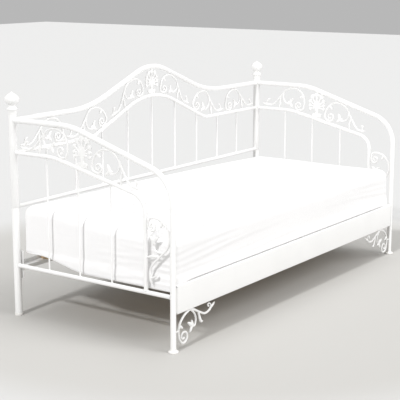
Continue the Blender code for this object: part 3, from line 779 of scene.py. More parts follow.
def cast(solid: Solid, name: str, grain: float, keep: float = 0.55) -> bpy.types.Mesh:
    """Melt crossing strands into one casting with soft inner corners.

    Args:
        solid: The strands.
        name: The mesh's name.
        grain: The size of the cells it is recast in.
        keep: The share of the faces that is kept.

    Returns:
        One closed mesh.
    """
    pattern = bpy.data.objects.new(name, solid.mesh(name))
    bpy.context.collection.objects.link(pattern)
    melt = pattern.modifiers.new("melt", "REMESH")
    melt.mode = "VOXEL"
    melt.voxel_size = grain
    relax = pattern.modifiers.new("relax", "SMOOTH")
    relax.factor = 0.5
    relax.iterations = 4
    thin = pattern.modifiers.new("thin", "DECIMATE")
    thin.ratio = keep
    melted = pattern.evaluated_get(bpy.context.evaluated_depsgraph_get())
    made = bpy.data.meshes.new_from_object(melted)
    bpy.data.objects.remove(pattern, do_unlink=True)
    made.shade_smooth()
    return made


def add_piece(name: str, mesh: bpy.types.Mesh, finish: Finish, body: Body = Body.FRAME,
              nodes: Sequence[str] = ()) -> bpy.types.Object:
    """Put a piece on the bed in place of its nodes in the model.

    Args:
        name: The piece's name.
        mesh: Its mesh, in the model's frame.
        finish: Its finish.
        body: The body it rides on.
        nodes: The nodes that it stands for.

    Returns:
        The piece.
    """
    piece = bpy.data.objects.new(name, mesh)
    bpy.context.collection.objects.link(piece)
    mesh.materials.clear()
    mesh.materials.append(finish.material())
    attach(piece, body.value)
    if nodes:
        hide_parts(*nodes)
    LOG.info("%s: %d faces", name, len(mesh.polygons))
    return piece


# ---------------------------------------------------------------- the frame's layout


@dataclass(frozen=True)
class Layout:
    """Places and tube sizes of the frame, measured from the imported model."""

    half_span: float
    post_y: float
    leg_y: float
    riser_y: float
    arm_z: float
    inner_z: float
    bottom_z: float
    back_z: float
    post_r: float
    leg_r: float
    tube_r: float
    rail_r: float
    spindle_r: float

    @classmethod
    def measured(cls) -> "Layout":
        """Read the layout off the model's nodes.

        Returns:
            The layout.
        """
        post_low, post_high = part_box("rear_post_right")
        leg_low, leg_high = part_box("rear_leg_right")
        arm_low, arm_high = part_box("arm_rail_right")
        inner_low, inner_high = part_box("arm_inner_rail_right")
        bottom_low, bottom_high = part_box("arm_bottom_rail_right")
        back_low, back_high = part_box("back_bottom_rail")
        rod_low, rod_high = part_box("back_spindle_5")
        tube_r = (arm_high.x - arm_low.x) / 2
        rail_r = (inner_high.x - inner_low.x) / 2
        return cls(
            half_span=(post_low.x + post_high.x) / 2,
            post_y=(back_low.y + back_high.y) / 2,
            leg_y=arm_low.y + tube_r,
            riser_y=inner_low.y + rail_r,
            arm_z=arm_high.z - tube_r,
            inner_z=inner_high.z - rail_r,
            bottom_z=(bottom_low.z + bottom_high.z) / 2,
            back_z=(back_low.z + back_high.z) / 2,
            post_r=(post_high.x - post_low.x) / 2,
            leg_r=(leg_high.x - leg_low.x) / 2,
            tube_r=tube_r,
            rail_r=rail_r,
            spindle_r=(rod_high.x - rod_low.x) / 2,
        )


# ---------------------------------------------------------------- ornaments


@dataclass(frozen=True)
class Strand:
    """One strand of a casting: control points of its axis and a radius at each."""

    points: Sequence[Pair]
    radii: Sequence[float]
    swell: float = 1.0


@dataclass(frozen=True)
class Casting:
    """Ornament cast from strands that run into each other."""

    strand_r: float = 0.0055
    half_thick: float = 0.0052
    leaf_swell: float = 1.25
    bite: float = 0.0006
    grain: float = 0.0013

    def strands(self) -> list[Strand]:
        """The casting's strands, in its own drawing."""
        raise NotImplementedError

    def mesh(self, name: str, place: Place, across: Vector) -> bpy.types.Mesh:
        """Cast the ornament.

        Args:
            name: The mesh's name.
            place: Where a point of the drawing belongs.
            across: The direction square to the ornament.

        Returns:
            The mesh.
        """
        pattern = Solid()
        for strand in self.strands():
            rows = flowing([(*point, radius) for point, radius in zip(strand.points, strand.radii)], 5)
            path = [place(float(along), float(height)) for along, height, _ in rows]
            radii = [max(float(radius) * strand.swell, 0.0013) for radius in rows[:, 2]]
            pattern.bar(path, radii, across, 12, self.half_thick, domed=True)
        return cast(pattern, name, self.grain)


@dataclass(frozen=True)
class RailScroll(Casting):
    """Scroll that stands between two rails: a large open ring, a volute, a trefoil and a leafy tail.

    Its drawing runs along the rails, towards the volute, and up from the inner rail's surface.
    """

    gap: float = 0.124
    ring_r: float = 0.080
    eye: Pair = (0.043, 0.0285)

    def strands(self) -> list[Strand]:
        """Ring with its tail and volute, the branch with its trefoil, the drop, the bud and the curl.

        Returns:
            The strands.
        """
        r, thin = self.strand_r, self.strand_r * 0.80
        ring = (0.0, self.gap - r + self.bite - self.ring_r)
        eye_r = self.eye[1] - r + self.bite
        tail = [(-0.208, 0.0200), (-0.190, 0.0165), (-0.168, 0.0140), (-0.144, 0.0150),
                (-0.118, 0.0310), (-0.088, 0.0620)]
        hoop = spiral(ring, (self.ring_r, self.ring_r), (134, -12), 9)
        volute = spiral(self.eye, (eye_r, 0.0062), (-80, -530), 14)
        main = tail + hoop + [(0.0685, 0.0100)] + volute
        main_r = [0.0016, 0.0058, 0.0064, 0.0042, r, r] + [r] * (len(hoop) + 6) \
            + [thin] * (len(volute) - 6) + [0.0054]
        branch = spiral((-0.024, 0.0640), (0.0440, 0.0370), (138, 262), 5) + [(-0.016, 0.0340)]
        return [
            Strand(main, main_r),
            Strand(branch, [0.0034, thin, thin, thin, 0.0046, 0.0056, 0.0080]),
            Strand([(-0.016, 0.0340), (-0.026, 0.0360), (-0.035, 0.0380)],
                   [0.0060, 0.0066, 0.0024], self.leaf_swell),
            Strand([(-0.020, 0.0350), (-0.011, 0.0470), (-0.003, 0.0570)],
                   [0.0050, 0.0072, 0.0032], self.leaf_swell),
            Strand([(-0.020, 0.0330), (-0.010, 0.0220), (-0.002, 0.0130)],
                   [0.0050, 0.0066, 0.0028], self.leaf_swell),
            Strand([(-0.083, 0.0660), (-0.084, 0.0480), (-0.086, 0.0260), (-0.091, 0.0060),
                    (-0.092, -self.bite)], [0.0026, 0.0048, 0.0070, 0.0042, 0.0036]),
            Strand([(0.0700, 0.0840), (0.0590, 0.0800), (0.0460, 0.0740)],
                   [0.0028, 0.0058, 0.0040], self.leaf_swell),
            Strand([(-0.184, 0.0160), (-0.177, 0.0300), (-0.170, 0.0440), (-0.160, 0.0460)],
                   [0.0034, 0.0046, 0.0056, 0.0040]),
        ]


@dataclass(frozen=True)
class CornerScroll(Casting):
    """Scroll bracket under the front board, drawn away from the leg and down from the board."""

    def strands(self) -> list[Strand]:
        """Curled tail running into a large volute by the leg, with a branch, a drop and a bud.

        Returns:
            The strands.
        """
        r, thin = self.strand_r, self.strand_r * 0.80
        tail = [(0.290, -0.0160), (0.275, -0.0250), (0.262, -0.0320), (0.250, -0.0410),
                (0.232, -0.0480), (0.209, -0.0480), (0.179, -0.0350), (0.150, -0.0200), (0.126, -0.0080)]
        back = [(0.106, self.bite - r), (0.086, -0.0100), (0.062, -0.0210), (0.039, -0.0410),
                (0.026, -0.0640), (0.023, -0.0880), (0.029, -0.1150), (0.041, -0.1330)]
        volute = spiral((0.059, -0.1130), (0.0275, 0.0060), (-108, 290), 11, 1.6)
        main_r = [0.0016, 0.0060, 0.0062] + [r] * (6 + len(back) + 5) + [thin] * (len(volute) - 6) \
            + [0.0054]
        branch = [(0.112, -0.0090), (0.137, -0.0290), (0.1475, -0.0570), (0.139, -0.0830), (0.118, -0.0790)]
        return [
            Strand(tail + back + volute, main_r),
            Strand(branch, [0.0030, thin, thin, 0.0048, 0.0070]),
            Strand([(0.120, -0.0790), (0.106, -0.0690), (0.091, -0.0600)],
                   [0.0050, 0.0072, 0.0032], self.leaf_swell),
            Strand([(0.122, -0.0780), (0.113, -0.0920), (0.105, -0.1040)],
                   [0.0050, 0.0068, 0.0030], self.leaf_swell),
            Strand([(0.126, -0.0760), (0.121, -0.0660), (0.119, -0.0560)],
                   [0.0046, 0.0058, 0.0026], self.leaf_swell),
            Strand([(0.163, -0.0270), (0.168, -0.0380), (0.179, -0.0640), (0.188, -0.0790),
                    (0.200, -0.0790)], [0.0028, 0.0048, 0.0078, 0.0062, 0.0028]),
            Strand([(0.0275, -0.0600), (0.038, -0.0640), (0.050, -0.0710)],
                   [0.0028, 0.0060, 0.0036], self.leaf_swell),
            Strand([(0.259, -0.0340), (0.259, -0.0210), (0.248, -0.0120), (0.236, -0.0150),
                    (0.243, -0.0240)], [0.0034, 0.0034, 0.0032, 0.0032, 0.0046]),
            Strand([(-self.bite, -0.0790), (0.022, -0.0790)], [0.0036, 0.0036]),
        ]


@dataclass(frozen=True)
class Shell(Casting):
    """Fan of ribbed lobes on a foot of two volutes."""

    tall: float = 0.12
    lobes: int = 9
    spread: Pair = (-26.0, 206.0)
    side_reach: float = 0.053
    hub_share: float = 0.41

    def strands(self) -> list[Strand]:
        """A strand for each lobe, the hub, the neck, the volutes and the sole.

        Returns:
            The strands.
        """
        hub = self.tall * self.hub_share
        pitch = (self.spread[1] - self.spread[0]) / self.lobes
        made = []
        for lobe in range(self.lobes):
            angle = math.radians(self.spread[0] + pitch * (lobe + 0.5))
            rise = max(math.sin(angle), 0.0) ** 2
            reach = self.side_reach + (self.tall + self.bite - hub - self.side_reach) * rise
            wide = reach * math.tan(math.radians(pitch) / 2)
            tip = 0.92 * wide
            stations = (0.15, 0.38, 0.55, 0.70, 1.0 - tip / reach)
            shares = (0.30, 0.40, 0.30, 0.40, 0.92)
            way = (math.cos(angle), math.sin(angle))
            made.append(Strand([(way[0] * reach * at, hub + way[1] * reach * at) for at in stations],
                               [wide * share for share in shares]))
        made.append(Strand([(0, hub - 0.010), (0, hub), (0, hub + 0.010)], [0.0120, 0.0175, 0.0120]))
        made.append(Strand([(0, hub - 0.006), (0, hub * 0.50), (0, 0.004)], [0.0150, 0.0090, 0.0110]))
        made.append(Strand([(-0.024, 0.0030), (0, 0.0026), (0.024, 0.0030)], [0.0034, 0.0038, 0.0034]))
        for sign in (-1, 1):
            curl = [(sign * (0.0200 + along), 0.0122 + up)
                    for along, up in spiral((0, 0), (0.0100, 0.0030), (190, -200), 10)]
            made.append(Strand([(sign * 0.004, hub * 0.46), *curl],
                               [0.0056] + [0.0040] * (len(curl) - 1) + [0.0046]))
        return made


@dataclass(frozen=True)
class Band:
    """The band between two bent rails, which the ornaments follow."""

    inner: Sequence[Vector]
    outer: Sequence[Vector]
    inner_r: float
    outer_r: float
    gap: float
    put: Place
    steps: int = 12

    def middle(self, place: float) -> tuple[float, float, float]:
        """Middle of the band at a place along it.

        Args:
            place: The place.

        Returns:
            The middle's height, its slope and half the band's height.
        """
        low, low_slope = height_on(self.inner, place)
        high, high_slope = height_on(self.outer, place)
        return (low + high) / 2, (low_slope + high_slope) / 2, (high - low) / 2

    def placer(self, start: float, way: float) -> Place:
        """Place function for a drawing that starts at a place and runs one way along the band.

        Args:
            start: Where the drawing's origin is.
            way: 1 or -1, the way it runs.

        Returns:
            A function of a drawing's point.
        """
        def place(along: float, height: float) -> Vector:
            """Point of the bed for a point of the drawing.

            Args:
                along: How far along the rails it is drawn.
                height: How far above the inner rail it is drawn.

            Returns:
                The point.
            """
            at = start
            for _ in range(self.steps):
                at += way * along / self.steps * math.cos(math.atan(self.middle(at)[1]))
            centre, slope, half = self.middle(at)
            tilt = math.atan(slope)
            room = half * math.cos(tilt)
            share = height / self.gap
            rise = share * (room - self.outer_r) - (1 - share) * (room - self.inner_r)
            return self.put(at - rise * math.sin(tilt), centre + rise * math.cos(tilt))

        return place


# ---------------------------------------------------------------- end panels


@dataclass
class EndPanel:
    """One end of the bed: rear leg and post, arm tube, second rail, bottom rail and their ornaments."""

    side: Side
    at: Layout
    arm_flat: float = 0.351
    arm_fall: float = math.radians(17.5)
    arm_knee_r: float = 0.42
    arm_bend_r: float = 0.160
    inner_flat: float = 0.247
    inner_fall: float = math.radians(13.4)
    inner_knee_r: float = 0.40
    inner_bend_r: float = 0.080
    scroll_a: float = 0.253
    scroll_b: float = 0.553
    leg_scroll_z: float = 0.486
    shell_at: float = 0.412
    splice_taper: float = 0.004
    wall: float = 0.0014
    weld: float = 0.0018
    ball_r: float = 0.0335
    ball_height: float = 0.058
    neck_r: float = 0.0165
    neck_z: float = 0.043
    ball_waist: float = 0.46
    fit: float = 0.0003
    spigot: float = 0.030
    seam_edge: float = 0.0008
    rail_sunk: float = 0.0015
    rod_sunk: float = 0.0012
    rod_weld: float = 0.8
    front_foot_top: float = 0.0150
    front_plug_top: float = 0.0280
    rear_foot_top: float = 0.0120
    rear_plug_top: float = 0.0250

    def __post_init__(self) -> None:
        """Work out the two bent lines and the band between them."""
        at = self.at
        foot_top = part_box(f"arm_rail_{self.side.word}")[0].z
        self.x = self.side.value * at.half_span
        knee = at.post_y - self.arm_flat
        bend_z = at.arm_z - math.tan(self.arm_fall) * (knee - at.leg_y)
        self.arm_line = rounded(
            ((at.post_y, at.arm_z), (knee, at.arm_z), (at.leg_y, bend_z), (at.leg_y, foot_top)),
            (self.arm_knee_r, self.arm_bend_r))
        knee = at.post_y - self.inner_flat
        bend_z = at.inner_z - math.tan(self.inner_fall) * (knee - at.riser_y)
        self.inner_line = rounded(
            ((at.post_y, at.inner_z), (knee, at.inner_z), (at.riser_y, bend_z), (at.riser_y, at.bottom_z)),
            (self.inner_knee_r, self.inner_bend_r))
        self.band = Band(self.inner_line, self.arm_line, at.rail_r, at.tube_r, RailScroll.gap, self.point)

    def name(self, part: str, number: str = "") -> str:
        """A piece's name, as the model's nodes spell it."""
        return f"{part}_{self.side.word}" + (f"_{number}" if number else "")

    def point(self, depth: float, height: float) -> Vector:
        """A point of the end panel's plane."""
        return Vector((self.x, depth, height))

    def build(self) -> None:
        """Make every piece of the end panel."""
        self.build_post()
        self.build_rails()
        self.build_spindles()
        self.build_ornaments()
        self.build_feet()

    def build_post(self) -> None:
        """Lower leg, the wider post that stands on it with an open seam, and the finial."""
        at, edge = self.at, self.seam_edge
        axis = self.point(at.post_y, 0.0)
        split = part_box(self.name("rear_post"))[0].z
        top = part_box(self.name("rear_post"))[1].z
        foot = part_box(self.name("rear_leg"))[0].z
        plug = at.post_r - self.wall - self.fit
        leg = [(at.leg_r - self.wall, foot), (at.leg_r, foot), (at.leg_r, split - self.splice_taper),
               (at.leg_r - 0.0004, split - self.splice_taper * 0.4), (plug, split - self.fit),
               (plug, split + self.spigot), (at.leg_r - self.wall, split + self.spigot)]
        add_piece(self.name("rear_leg"), Solid().lathe(leg, axis, closed=True).mesh(self.name("rear_leg")),
                  WHITE_COAT, nodes=[self.name("rear_leg")])
        bore = at.post_r - self.wall
        post = [(bore, split + edge), (bore + edge / 2, split), (at.post_r - edge / 2, split),
                (at.post_r, split + edge), (at.post_r, top - edge), (at.post_r - edge, top),
                (bore, top), (bore, split + 0.040)]
        add_piece(self.name("rear_post"), Solid().lathe(post, axis, closed=True).mesh(self.name("rear_post")),
                  WHITE_COAT, nodes=[self.name("rear_post")])
        finial = Solid().lathe(self.finial_profile(), axis + Vector((0, 0, top)), 56)
        add_piece(self.name("finial"), finial.mesh(self.name("finial")), WHITE_COAT,
                  nodes=[self.name("finial")])

    def finial_profile(self) -> list[Pair]:
        """Profile of the finial: collar, neck and an onion-shaped ball with a slight point.

        Returns:
            Radii and heights above the post's top.
        """
        low = [(0.0005, -0.015), (self.at.post_r - self.wall, -0.015), (self.at.post_r - self.wall, 0.0)]
        collar = [(self.at.post_r, 0.0003), (0.0196, 0.004), (0.0204, 0.010), (0.0226, 0.0160),
                  (0.0252, 0.0200), (0.0263, 0.0226), (0.0265, 0.0242), (0.0258, 0.0262),
                  (0.0236, 0.0286), (0.0205, 0.0312), (0.0182, 0.0345), (0.0169, 0.0390),
                  (self.neck_r, self.neck_z - 0.0008)]
        widest = self.neck_z + self.ball_height * self.ball_waist
        below = (widest - self.neck_z) / math.sin(math.radians(62))
        ball = [(self.neck_r + 0.0006, self.neck_z)]
        for degrees in range(-56, 1, 7):
            angle = math.radians(degrees)
            ball.append((self.ball_r * math.cos(angle) ** 0.9, widest + below * math.sin(angle)))
        rise = self.ball_height * (1 - self.ball_waist) - 0.002
        for step in range(1, 15):
            share = step / 15
            ball.append((self.ball_r * (1 - share ** 1.9), widest + share * rise))
        ball += [(0.0030, widest + rise), (0.0016, widest + rise + 0.0013), (0.0004, widest + rise + 0.002)]
        return low + collar + ball

    def build_rails(self) -> None:
        """Arm tube down to the front foot, second rail down to the bottom rail, and the bottom rail."""
        at, sunk = self.at, self.rail_sunk
        arm = [self.point(*pair) for pair in self.arm_line]
        arm[0] = self.point(at.post_y - at.post_r + sunk, at.arm_z)
        inner = [self.point(*pair) for pair in self.inner_line]
        inner[0] = self.point(at.post_y - at.post_r + sunk, at.inner_z)
        inner[-1] = self.point(at.riser_y, at.bottom_z + at.rail_r - sunk)
        bottom = [self.point(at.post_y - at.leg_r + sunk, at.bottom_z),
                  self.point(at.leg_y + at.tube_r - sunk, at.bottom_z)]
        plans = (("arm_rail", arm, at.tube_r, 36, (True, False)),
                 ("arm_inner_rail", inner, at.rail_r, 28, (True, True)),
                 ("arm_bottom_rail", bottom, at.rail_r, 28, (True, True)))
        for part, path, radius, sides, ends in plans:
            points, radii = welded(path, radius, self.weld, ends, sunk)
            name = self.name(part)
            add_piece(name, Solid().bar(points, radii, X_AXIS, sides).mesh(name), WHITE_COAT, nodes=[name])

    def build_spindles(self) -> None:
        """Rods from the bottom rail up to the second rail, with a small weld at each end."""
        at, sunk = self.at, self.rod_sunk
        for number in ("1", "2", "3"):
            name = self.name("arm_spindle", number)
            low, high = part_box(name)
            depth = (low.y + high.y) / 2
            top = height_on(self.inner_line, depth)[0] - at.rail_r + sunk
            path = [self.point(depth, at.bottom_z + at.rail_r - sunk), self.point(depth, top)]
            points, radii = welded(path, at.spindle_r, self.weld * self.rod_weld, (True, True), sunk)
            add_piece(name, Solid().bar(points, radii, X_AXIS, 20).mesh(name), WHITE_COAT, nodes=[name])

    def build_ornaments(self) -> None:
        """Level scroll, sloping scroll, upright scroll and the shell."""
        at = self.at
        riser_gap = at.riser_y - at.rail_r - at.leg_y - at.tube_r

        def up_leg(along: float, height: float) -> Vector:
            """Point of the strip between the riser and the front leg."""
            depth = at.riser_y - at.rail_r - height * riser_gap / RailScroll.gap
            return self.point(depth, self.leg_scroll_z + along)

        places = {
            "a": self.band.placer(at.post_y - self.scroll_a, -1),
            "b": self.band.placer(at.post_y - self.scroll_b, 1),
            "c": up_leg,
        }
        for letter, place in places.items():
            name = self.name("arm_scroll", letter)
            add_piece(name, RailScroll().mesh(name, place, X_AXIS), WHITE_COAT, nodes=[name])
        depth = at.post_y - self.shell_at
        base = height_on(self.inner_line, depth)[0] + at.rail_r
        tall = height_on(self.arm_line, depth)[0] - at.tube_r - base
        name = self.name("arm_shell")
        shell = Shell(tall=tall)

        def on_rail(along: float, height: float) -> Vector:
            """Point above the second rail for a point of the drawing."""
            return self.point(depth - along, base + height)

        add_piece(name, shell.mesh(name, on_rail, X_AXIS), WHITE_COAT, nodes=[name])

    def build_feet(self) -> None:
        """Flared front foot and plain rear foot."""
        at = self.at
        front, rear = self.name("front_foot"), self.name("rear_foot")
        wide = (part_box(front)[1].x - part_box(front)[0].x) / 2
        profile = [(wide - 0.0016, 0.0), (wide - 0.0005, 0.0005), (wide, 0.0016), (wide, 0.0042),
                   (wide - 0.0006, 0.0056), (wide - 0.0028, 0.0076), (at.tube_r + 0.0030, 0.0096),
                   (at.tube_r + 0.0018, 0.0114), (at.tube_r + 0.0012, 0.0140),
                   (at.tube_r + 0.0006, self.front_foot_top), (at.tube_r - self.wall, self.front_foot_top),
                   (at.tube_r - self.wall, self.front_plug_top)]
        foot = Solid().lathe([(0.0005, 0.0), *profile, (0.0005, self.front_plug_top)],
                             self.point(at.leg_y, 0.0))
        add_piece(front, foot.mesh(front), FOOT_PLASTIC, nodes=[front])
        wide = (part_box(rear)[1].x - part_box(rear)[0].x) / 2
        profile = [(wide - 0.0015, 0.0), (wide - 0.0004, 0.0004), (wide, 0.0015), (wide, 0.0106),
                   (wide - 0.0005, 0.0116), (wide - 0.0012, self.rear_foot_top),
                   (at.leg_r - self.wall, self.rear_foot_top), (at.leg_r - self.wall, self.rear_plug_top)]
        foot = Solid().lathe([(0.0005, 0.0), *profile, (0.0005, self.rear_plug_top)],
                             self.point(at.post_y, 0.0))
        add_piece(rear, foot.mesh(rear), FOOT_PLASTIC, nodes=[rear])


# ---------------------------------------------------------------- back panel


@dataclass
class BackPanel:
    """Two arched rails and a straight one, with spindles, scrolls and a shell."""

    at: Layout
    arch_half: float = 0.496
    arch_climb: float = math.radians(21.2)
    arch_radii: tuple[float, float, float] = (0.75, 0.33, 0.75)
    inner_half: float = 0.479
    inner_climb: float = math.radians(23.3)
    inner_radii: tuple[float, float, float] = (0.15, 0.47, 0.15)
    scrolls: tuple[float, float, float] = (0.157, 0.455, 0.765)
    spindle_count: int = 9
    weld: float = 0.0018
    rail_sunk: float = 0.0015
    rod_sunk: float = 0.0012
    rod_weld: float = 0.8

    def __post_init__(self) -> None:
        """Work out the two arched lines and the band between them."""
        at = self.at
        self.top_line = self.arched(self.arch_half, self.arch_climb, at.arm_z, self.arch_radii)
        self.inner_line = self.arched(self.inner_half, self.inner_climb, at.inner_z, self.inner_radii)
        self.band = Band(self.inner_line, self.top_line, at.rail_r, at.tube_r, RailScroll.gap, self.point)

    def arched(self, half: float, climb: float, level: float, radii: Sequence[float]) -> list[Vector]:
        """Axis of an arched rail, as length and height.

        Args:
            half: Where the rail starts to climb, from the middle.
            climb: The angle it climbs at.
            level: Its height at the posts.
            radii: The radii of its three bends.

        Returns:
            The points of the axis.
        """
        span = self.at.half_span
        peak = level + math.tan(climb) * half
        return rounded(((-span, level), (-half, level), (0, peak), (half, level), (span, level)), radii)

    def point(self, along: float, height: float) -> Vector:
        """A point of the back panel's plane."""
        return Vector((along, self.at.post_y, height))

    def build(self) -> None:
        """Make every piece of the back panel."""
        at, sunk = self.at, self.rail_sunk
        end = at.half_span - at.post_r + sunk
        straight = [Vector((-end, at.back_z)), Vector((end, at.back_z))]
        plans = (("back_top_rail", self.top_line, at.tube_r, 36),
                 ("back_inner_rail", self.inner_line, at.rail_r, 28),
                 ("back_bottom_rail", straight, at.rail_r, 28))
        for name, line, radius, sides in plans:
            path = [self.point(*pair) for pair in line]
            path[0].x, path[-1].x = -end, end
            points, radii = welded(path, radius, self.weld, (True, True), sunk)
            add_piece(name, Solid().bar(points, radii, Y_AXIS, sides).mesh(name), WHITE_COAT, nodes=[name])
        self.build_spindles()
        self.build_ornaments()

    def build_spindles(self) -> None:
        """Rods from the bottom rail up to the second arched rail."""
        at, sunk = self.at, self.rod_sunk
        for number in range(1, self.spindle_count + 1):
            name = f"back_spindle_{number}"
            low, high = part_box(name)
            along = (low.x + high.x) / 2
            top = height_on(self.inner_line, along)[0] - at.rail_r + sunk
            path = [self.point(along, at.back_z + at.rail_r - sunk), self.point(along, top)]
            points, radii = welded(path, at.spindle_r, self.weld * self.rod_weld, (True, True), sunk)
            add_piece(name, Solid().bar(points, radii, Y_AXIS, 20).mesh(name), WHITE_COAT, nodes=[name])

    def build_ornaments(self) -> None:
        """Three scrolls on each side and the shell in the middle."""
        at = self.at
        for side in Side:
            for number, offset in enumerate(self.scrolls, 1):
                name = f"back_scroll_{side.word}_{number}"
                place = self.band.placer(side.value * offset, -side.value)
                add_piece(name, RailScroll().mesh(name, place, Y_AXIS), WHITE_COAT, nodes=[name])
        base = height_on(self.inner_line, 0.0)[0] + at.rail_r
        tall = height_on(self.top_line, 0.0)[0] - at.tube_r - base
        shell = Shell(tall=tall)

        def on_rail(along: float, height: float) -> Vector:
            """Point above the second arched rail for a point of the drawing."""
            return self.point(along, base + height)

        add_piece("back_shell", shell.mesh("back_shell", on_rail, Y_AXIS), WHITE_COAT, nodes=["back_shell"])


# ---------------------------------------------------------------- side rails


@dataclass
class SideRails:
    """Front board and rear rail of folded steel, their end plates, bolts and corner scrolls."""

    at: Layout
    sheet: float = 0.0020
    rear_sheet: float = 0.0030
    board_depth: float = 0.020
    bend_r: float = 0.0026
    plate: float = 0.0050
    plate_inset: float = 0.006
    plate_weld: float = 0.0006
    plate_half: float = 0.021
    web_low: float = 0.208
    web_high: float = 0.256
    ledge_width: float = 0.040
    fit: float = 0.0003
    head_r: float = 0.0075
    head_long: float = 0.0046
    washer_top: float = 0.0052
    shank_r: float = 0.0039

    def ribbon(self, corners: Sequence[Pair], thick: float, bend: float) -> list[Pair]:
        """Outline of folded sheet from the middle line of its section.

        Args:
            corners: The middle line's corners.
            thick: The sheet's thickness.
            bend: The middle line's bend radius.

        Returns:
            The outline.
        """
        line = rounded(corners, [bend] * (len(corners) - 2), math.radians(12))
        sides: tuple[list[Pair], list[Pair]] = ([], [])
        for index, point in enumerate(line):
            before, after = line[max(index - 1, 0)], line[min(index + 1, len(line) - 1)]
            way = (after - before).normalized()
            normal = Vector((-way.y, way.x)) * thick / 2
            sides[0].append(tuple(point + normal))
            sides[1].append(tuple(point - normal))
        return sides[0] + sides[1][::-1]

    def build(self) -> None:
        """Make both rails, the four bolts and the two corner scrolls."""
        self.build_board()
        self.build_rear_rail()
        for side in Side:
            for place in ("front", "rear"):
                self.build_bolt(f"rail_bolt_{place}_{side.word}", side)
            self.build_corner_scroll(side)

    def build_board(self) -> None:
        """Front board: a flat face folded back at its top and bottom, a shelf for the deck, end plates."""
        low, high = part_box("front_rail")
        half, deck_low = self.sheet / 2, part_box("slat_deck")[0].z
        face = low.y + half
        lip = low.y + self.board_depth
        channel = self.ribbon(((lip, low.z + half), (face, low.z + half), (face, high.z - half),
                               (lip, high.z - half)), self.sheet, self.bend_r)
        shelf_z = deck_low - self.fit - half
        shelf = self.ribbon(((face + half, shelf_z - 0.012), (face + self.sheet, shelf_z), (high.y, shelf_z)),
                            self.sheet, 0.0004)
        end = high.x
        weld = self.plate - self.plate_weld
        solids = [Solid().extrude(channel, -end + weld, end - weld),
                  Solid().extrude(shelf, -end + weld, end - weld)]
        for side in Side:
            inner, outer = sorted((side.value * end, side.value * (end - self.plate)))
            solids.append(soft_box((inner, low.y + self.sheet - 0.0006, low.z + self.plate_inset),
                                   (outer, self.at.leg_y + self.at.tube_r + 0.008,
                                    high.z - self.plate_inset), 0.0012))
        add_piece("front_rail", merged(solids).mesh("front_rail"), WHITE_COAT, nodes=["front_rail"])

    def build_rear_rail(self) -> None:
        """Rear rail: a folded angle whose ledge carries the deck, with tall end plates."""
        low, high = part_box("rear_rail")
        half = self.rear_sheet / 2
        deck_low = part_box("slat_deck")[0].z
        web = self.at.post_y + half
        ledge = self.at.post_y + self.rear_sheet - self.ledge_width
        base, top = self.web_low, self.web_high
        web_line = self.ribbon(((web, base), (web, (base + top) / 2), (web, top)), self.rear_sheet, 0.0004)
        seat = deck_low - self.fit - half
        seat_line = self.ribbon(((web, seat), ((web + ledge) / 2, seat), (ledge, seat)), self.rear_sheet,
                                0.0004)
        end = high.x
        weld = self.plate - self.plate_weld
        solids = [Solid().extrude(web_line, -end + weld, end - weld),
                  Solid().extrude(seat_line, -end + weld, end - weld)]
        for side in Side:
            inner, outer = sorted((side.value * end, side.value * (end - self.plate)))
            solids.append(soft_box((inner, self.at.post_y - self.plate_half, low.z),
                                   (outer, self.at.post_y + self.plate_half, high.z), 0.0015))
        add_piece("rear_rail", merged(solids).mesh("rear_rail"), WHITE_COAT, nodes=["rear_rail"])

    def build_bolt(self, name: str, side: Side) -> None:
        """Hexagon bolt with a chamfered head.

        Args:
            name: The bolt's node.
            side: The end of the bed it is at.
        """
        low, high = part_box(name)
        inner = min(abs(low.x), abs(high.x))
        tip = max(abs(low.x), abs(high.x))
        centre = Vector((side.value * inner, (low.y + high.y) / 2, (low.z + high.z) / 2))
        axis = Vector((side.value, 0, 0))
        head_long, washer_top = self.head_long, self.washer_top
        head = [(0.0004, 0.0), (self.head_r * 0.84, 0.0), (self.head_r, 0.0009), (self.head_r, head_long)]
        washer = [(0.0004, head_long), (self.head_r * 0.97, head_long),
                  (self.head_r * 0.99, washer_top), (0.0004, washer_top)]
        shank = [(self.shank_r, 0.0050), (self.shank_r, tip - inner - 0.001),
                 (self.shank_r - 0.001, tip - inner)]
        bolt = merged([Solid().lathe([*head, (0.0004, head_long)], centre, 6, axis=axis),
                       Solid().lathe(washer, centre, 28, axis=axis),
                       Solid().lathe(shank, centre, 20, axis=axis)])
        add_piece(name, bolt.mesh(name), ZINC, nodes=[name])

    def build_corner_scroll(self, side: Side) -> None:
        """Scroll bracket between a front leg and the board.

        Args:
            side: The end of the bed it is at.
        """
        board_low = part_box("front_rail")[0].z
        leg_face = self.at.half_span - self.at.tube_r

        def under_board(along: float, height: float) -> Vector:
            """Point under the board for a point of the drawing."""
            return Vector((side.value * (leg_face - along), self.at.leg_y, board_low + height))

        name = f"corner_scroll_{side.word}"
        add_piece(name, CornerScroll().mesh(name, under_board, Y_AXIS), WHITE_COAT, nodes=[name])


# ---------------------------------------------------------------- deck


